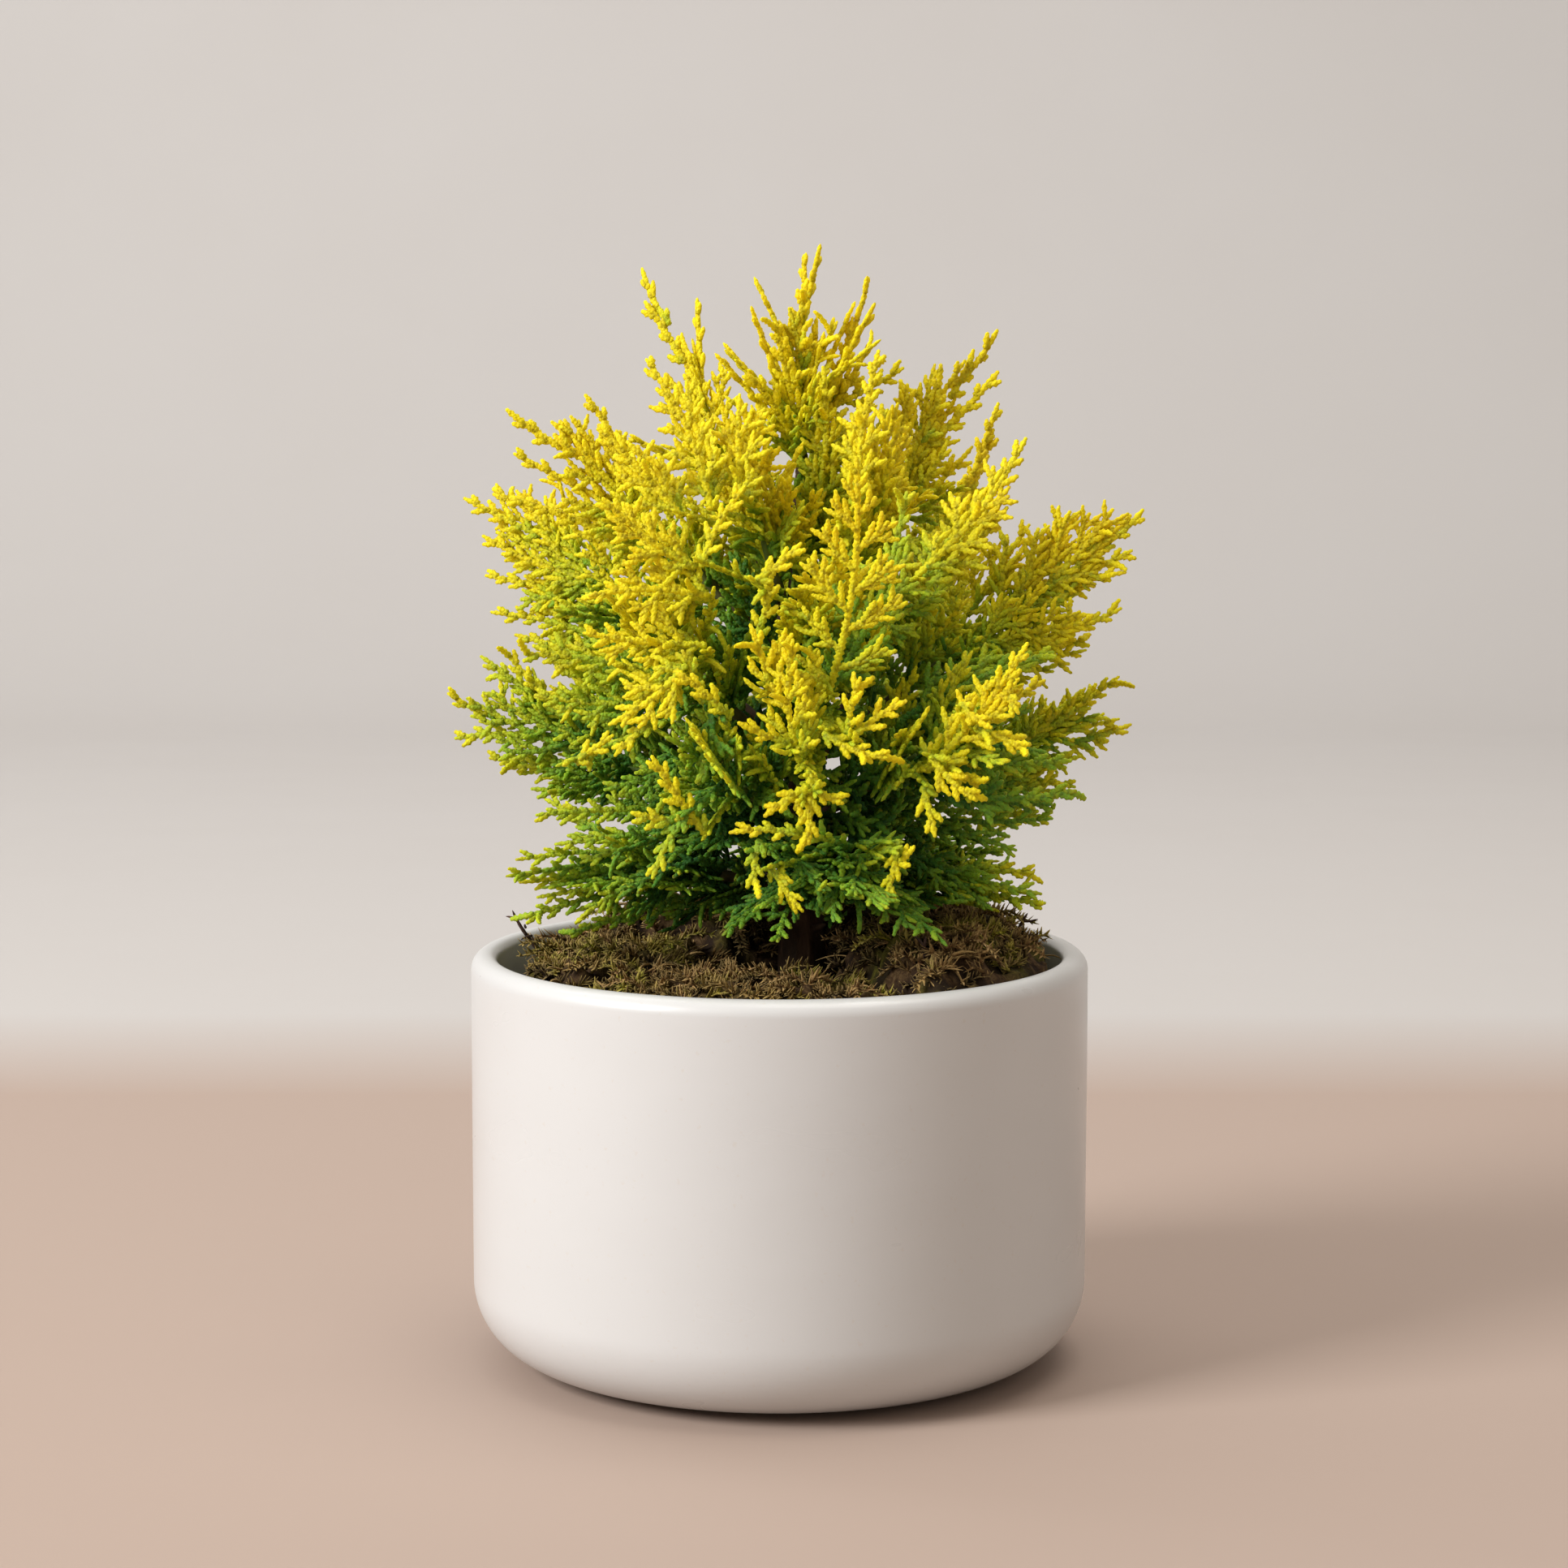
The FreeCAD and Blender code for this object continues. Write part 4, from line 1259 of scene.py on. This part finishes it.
def arc(centre_r, centre_z, radius, start, stop, steps):
    angles = [math.radians(start + (stop - start) * k / steps) for k in range(steps + 1)]
    return [(centre_r + radius * math.cos(a), centre_z + radius * math.sin(a)) for a in angles]


def between(a, b, steps):
    """The points that divide the line from a to b into steps."""
    run, rise = b[0] - a[0], b[1] - a[1]
    return [(a[0] + run * k / steps, a[1] + rise * k / steps) for k in range(1, steps)]


def pot():
    """The frame's profile turned on the wheel, with the faint unevenness of a hand glazed pot."""
    low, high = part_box("pot")
    radius, foot, top = high.x, low.z, high.z
    inner, floor = radius - POT_WALL, foot + POT_FLOOR
    turns = 200
    outline = [(0.0, foot)]
    for steps, curve in (
        (8, arc(radius - POT_FOOT_ROUND, foot + POT_FOOT_ROUND, POT_FOOT_ROUND, -90, 0, 22)),
        (28, arc(radius - POT_LIP_OUT, top - POT_LIP_OUT, POT_LIP_OUT, 0, 90, 10)),
        (2, arc(inner + POT_LIP_IN, top - POT_LIP_IN, POT_LIP_IN, 90, 180, 8)),
        (14, arc(inner - POT_INNER_ROUND, floor + POT_INNER_ROUND, POT_INNER_ROUND, 0, -90, 8)),
        (6, [(0.0, floor)]),
    ):
        outline += between(outline[-1], curve[0], steps) + curve
    verts = [(0, 0, foot)]
    for r, z in outline[1:-1]:
        for j in range(turns):
            a = 2 * math.pi * j / turns
            uneven = 0.10 * MM * wave(math.cos(a) * 1.2, math.sin(a) * 1.2, z * 22)
            verts.append((*polar(r + uneven, a), z + uneven * 0.6 * (z > top - 6 * MM)))
    verts.append((0, 0, floor))
    end = len(verts) - 1
    last = end - turns
    faces = [(0, 1 + (j + 1) % turns, 1 + j) for j in range(turns)]
    faces += grid(len(outline) - 3, turns, first=1)
    faces += [(last + j, last + (j + 1) % turns, end) for j in range(turns)]
    return mesh_object("glazed_pot", verts, faces)


def loose_twigs():
    """The dry stalks that stand in the moss, each forked and crooked."""
    rng = np.random.RandomState(21)
    tubes = Tubes(sides=7)
    for corners in solids("dry_twigs"):
        foot, tip = corners[np.argmin(corners[:, 2])], corners[np.argmax(corners[:, 2])]
        along, length = unit(tip - foot), np.linalg.norm(tip - foot)
        thick = 0.5 * MM if length > 12 * MM else 0.42 * MM
        knee = foot + along * length * 0.55 + rng.uniform(-1, 1, 3) * MM * (1.2, 0.8, 0.3)
        tubes.rod(foot, knee, rng.uniform(-0.5, 0.5, 3) * MM, thick, 12, 0.15, 0.2, PLAIN)
        nudge = rng.uniform(-0.7, 0.7, 3) * MM
        tubes.rod(knee, tip, nudge, thick * 0.8, 10, 0.15, 0.5, (0.3, 0.5, 0.5, 1))
        for k in range(4):
            start = foot + (tip - foot) * (0.4 + 0.15 * k)
            out = unit(rng.normal(size=3) * (1, 1, 0.5) + along * 0.6)
            end = start + out * rng.uniform(1.6, 3.6) * MM
            nudge = rng.uniform(-0.4, 0.4, 3) * MM
            tubes.rod(start, end, nudge, thick * 0.55, 6, 0.2, 0.4, (0.5, 0.5, 0.5, 1))
    return fast_mesh("dry_stalks", *tubes.build())


# ---------------------------------------------------------------- stage, light and camera

FLOOR_COLOR = (0.428, 0.326, 0.270)
WALL_COLOR = (0.545, 0.518, 0.497)
TABLE_EDGE = (0.27, 0.40)
COVE_START, COVE_R, COVE_STEPS = 1.3, 0.7, 24


def stage_material():
    """A pale table top that gives way to a pale wall, softly, behind the pot."""
    m = Nodes("pale_stage")
    soft = m.noise(5, 3)
    back = m.span(m.add("SeparateXYZ", Vector=m.place).outputs["Y"], 0.0, 1.0, *TABLE_EDGE)
    tint = m.mix(back, FLOOR_COLOR, WALL_COLOR)
    color = m.mix(m.span(soft, 0.0, 0.06), tint, (0.42, 0.36, 0.31))
    return m.finish(color, (soft, 0.60, 0.72), Specular_IOR_Level=0.3)


def build_stage():
    """A floor that curves up into a wall far behind the object."""
    profile = [(-3.0, 0.0), (-1.0, 0.0), (0.0, 0.0), (COVE_START, 0.0)]
    for k in range(1, COVE_STEPS + 1):
        a = math.pi / 2 * k / COVE_STEPS
        profile.append((COVE_START + COVE_R * math.sin(a), COVE_R * (1 - math.cos(a))))
    profile.append((COVE_START + COVE_R, 4.0))
    verts = [(x, y, z) for y, z in profile for x in (-5.0, 5.0)]
    faces = [(2 * k, 2 * k + 1, 2 * k + 3, 2 * k + 2) for k in range(len(profile) - 1)]
    cove = mesh_object("table_and_wall", verts, faces)
    cove.data.materials.append(stage_material())


def area_light(name, place, target, size, power, color):
    light = bpy.data.lights.new(name, "AREA")
    light.shape = "RECTANGLE"
    light.size, light.size_y = size
    light.energy, light.color = power, color
    obj = linked(name, light)
    obj.location = place
    obj.rotation_euler = (Vector(target) - Vector(place)).to_track_quat("-Z", "Y").to_euler()


def build_lights():
    """A window at the front left, light on the wall, a warm ceiling and a soft warm room."""
    crown = (0, 0, 0.13)
    area_light("window_key", (-1.45, -0.84, 1.05), crown, (0.7, 0.8), 40, (0.975, 0.99, 1.0))
    area_light("wall_wash", (-0.4, 0.7, 1.9), (0.0, 2.0, 0.6), (2.4, 0.8), 20, (0.97, 0.985, 1.0))
    area_light("ceiling", (0.30, -0.10, 1.5), crown, (0.9, 0.9), 7, (1.0, 0.95, 0.88))
    world = bpy.data.worlds.new("soft_room")
    world.use_nodes = True
    back = world.node_tree.nodes["Background"]
    back.inputs[0].default_value = (1.0, 0.93, 0.855, 1)
    back.inputs[1].default_value = 0.44
    bpy.context.scene.world = world
    bpy.context.scene.view_settings.view_transform = "Standard"


CAMERA_PLACE = (0.00094, -0.7405, 0.2039)
CAMERA_PITCH_DEG = 6.51
CAMERA_LENS_MM, CAMERA_SENSOR_MM = 83.3, 36.0


def build_camera():
    data = bpy.data.cameras.new("camera")
    data.lens, data.sensor_width = CAMERA_LENS_MM, CAMERA_SENSOR_MM
    data.clip_start, data.clip_end = 0.01, 50
    camera = linked("camera", data)
    camera.location = CAMERA_PLACE
    camera.rotation_euler = (math.radians(90 - CAMERA_PITCH_DEG), 0, 0)
    bpy.context.scene.camera = camera


# ---------------------------------------------------------------- putting it together


def dress(obj, material, body, slot, *nodes):
    """Gives a piece its material, its body and the nodes that it stands for; the slot is not used."""
    obj.data.materials.append(material)
    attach(obj, body)
    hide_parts(*nodes)


def repaint(node, material):
    """A node of the frame that stays gets a better material."""
    mesh = frame["nodes"][node].data
    mesh.materials.clear()
    mesh.materials.append(material)


def build_tree():
    leaves, twigs = foliage_material(), twig_material()
    limbs = [Limb(name) for name in LIMBS]
    for number, limb in enumerate(limbs):
        name = limb.name
        piece = fast_mesh(name + "_foliage", *foliage(limb, number).build())
        dress(piece, leaves, name, "foliage", name + "_sprays")
        stem = fast_mesh(name + "_twig", *twig(limb, number).build())
        dress(stem, twigs, name, "bark", name + "_wire")
    dress(trunk(limbs), bark_material(), BASE_BODY, "bark", "trunk_bark")


def build_planting():
    moss = moss_material()
    for number, pad in enumerate(MOSS_PADS):
        dress(moss_piece(pad, number), moss, BASE_BODY, "moss", pad.node)
    dress(soil(), soil_material(), BASE_BODY, "coir", "coir_disc")
    dress(loose_twigs(), dry_twig_material(), BASE_BODY, "dry_twig", "dry_twigs")


def build_pot():
    dress(pot(), glaze_material(), BASE_BODY, "glaze", "pot")
    repaint("felt_pad", felt_material())
    repaint("cement_ballast", cement_material())
    repaint("foam_plug", foam_material())
    repaint("trunk_rod", steel_material())


build_camera()
build_stage()
build_lights()
build_pot()
build_planting()
build_tree()
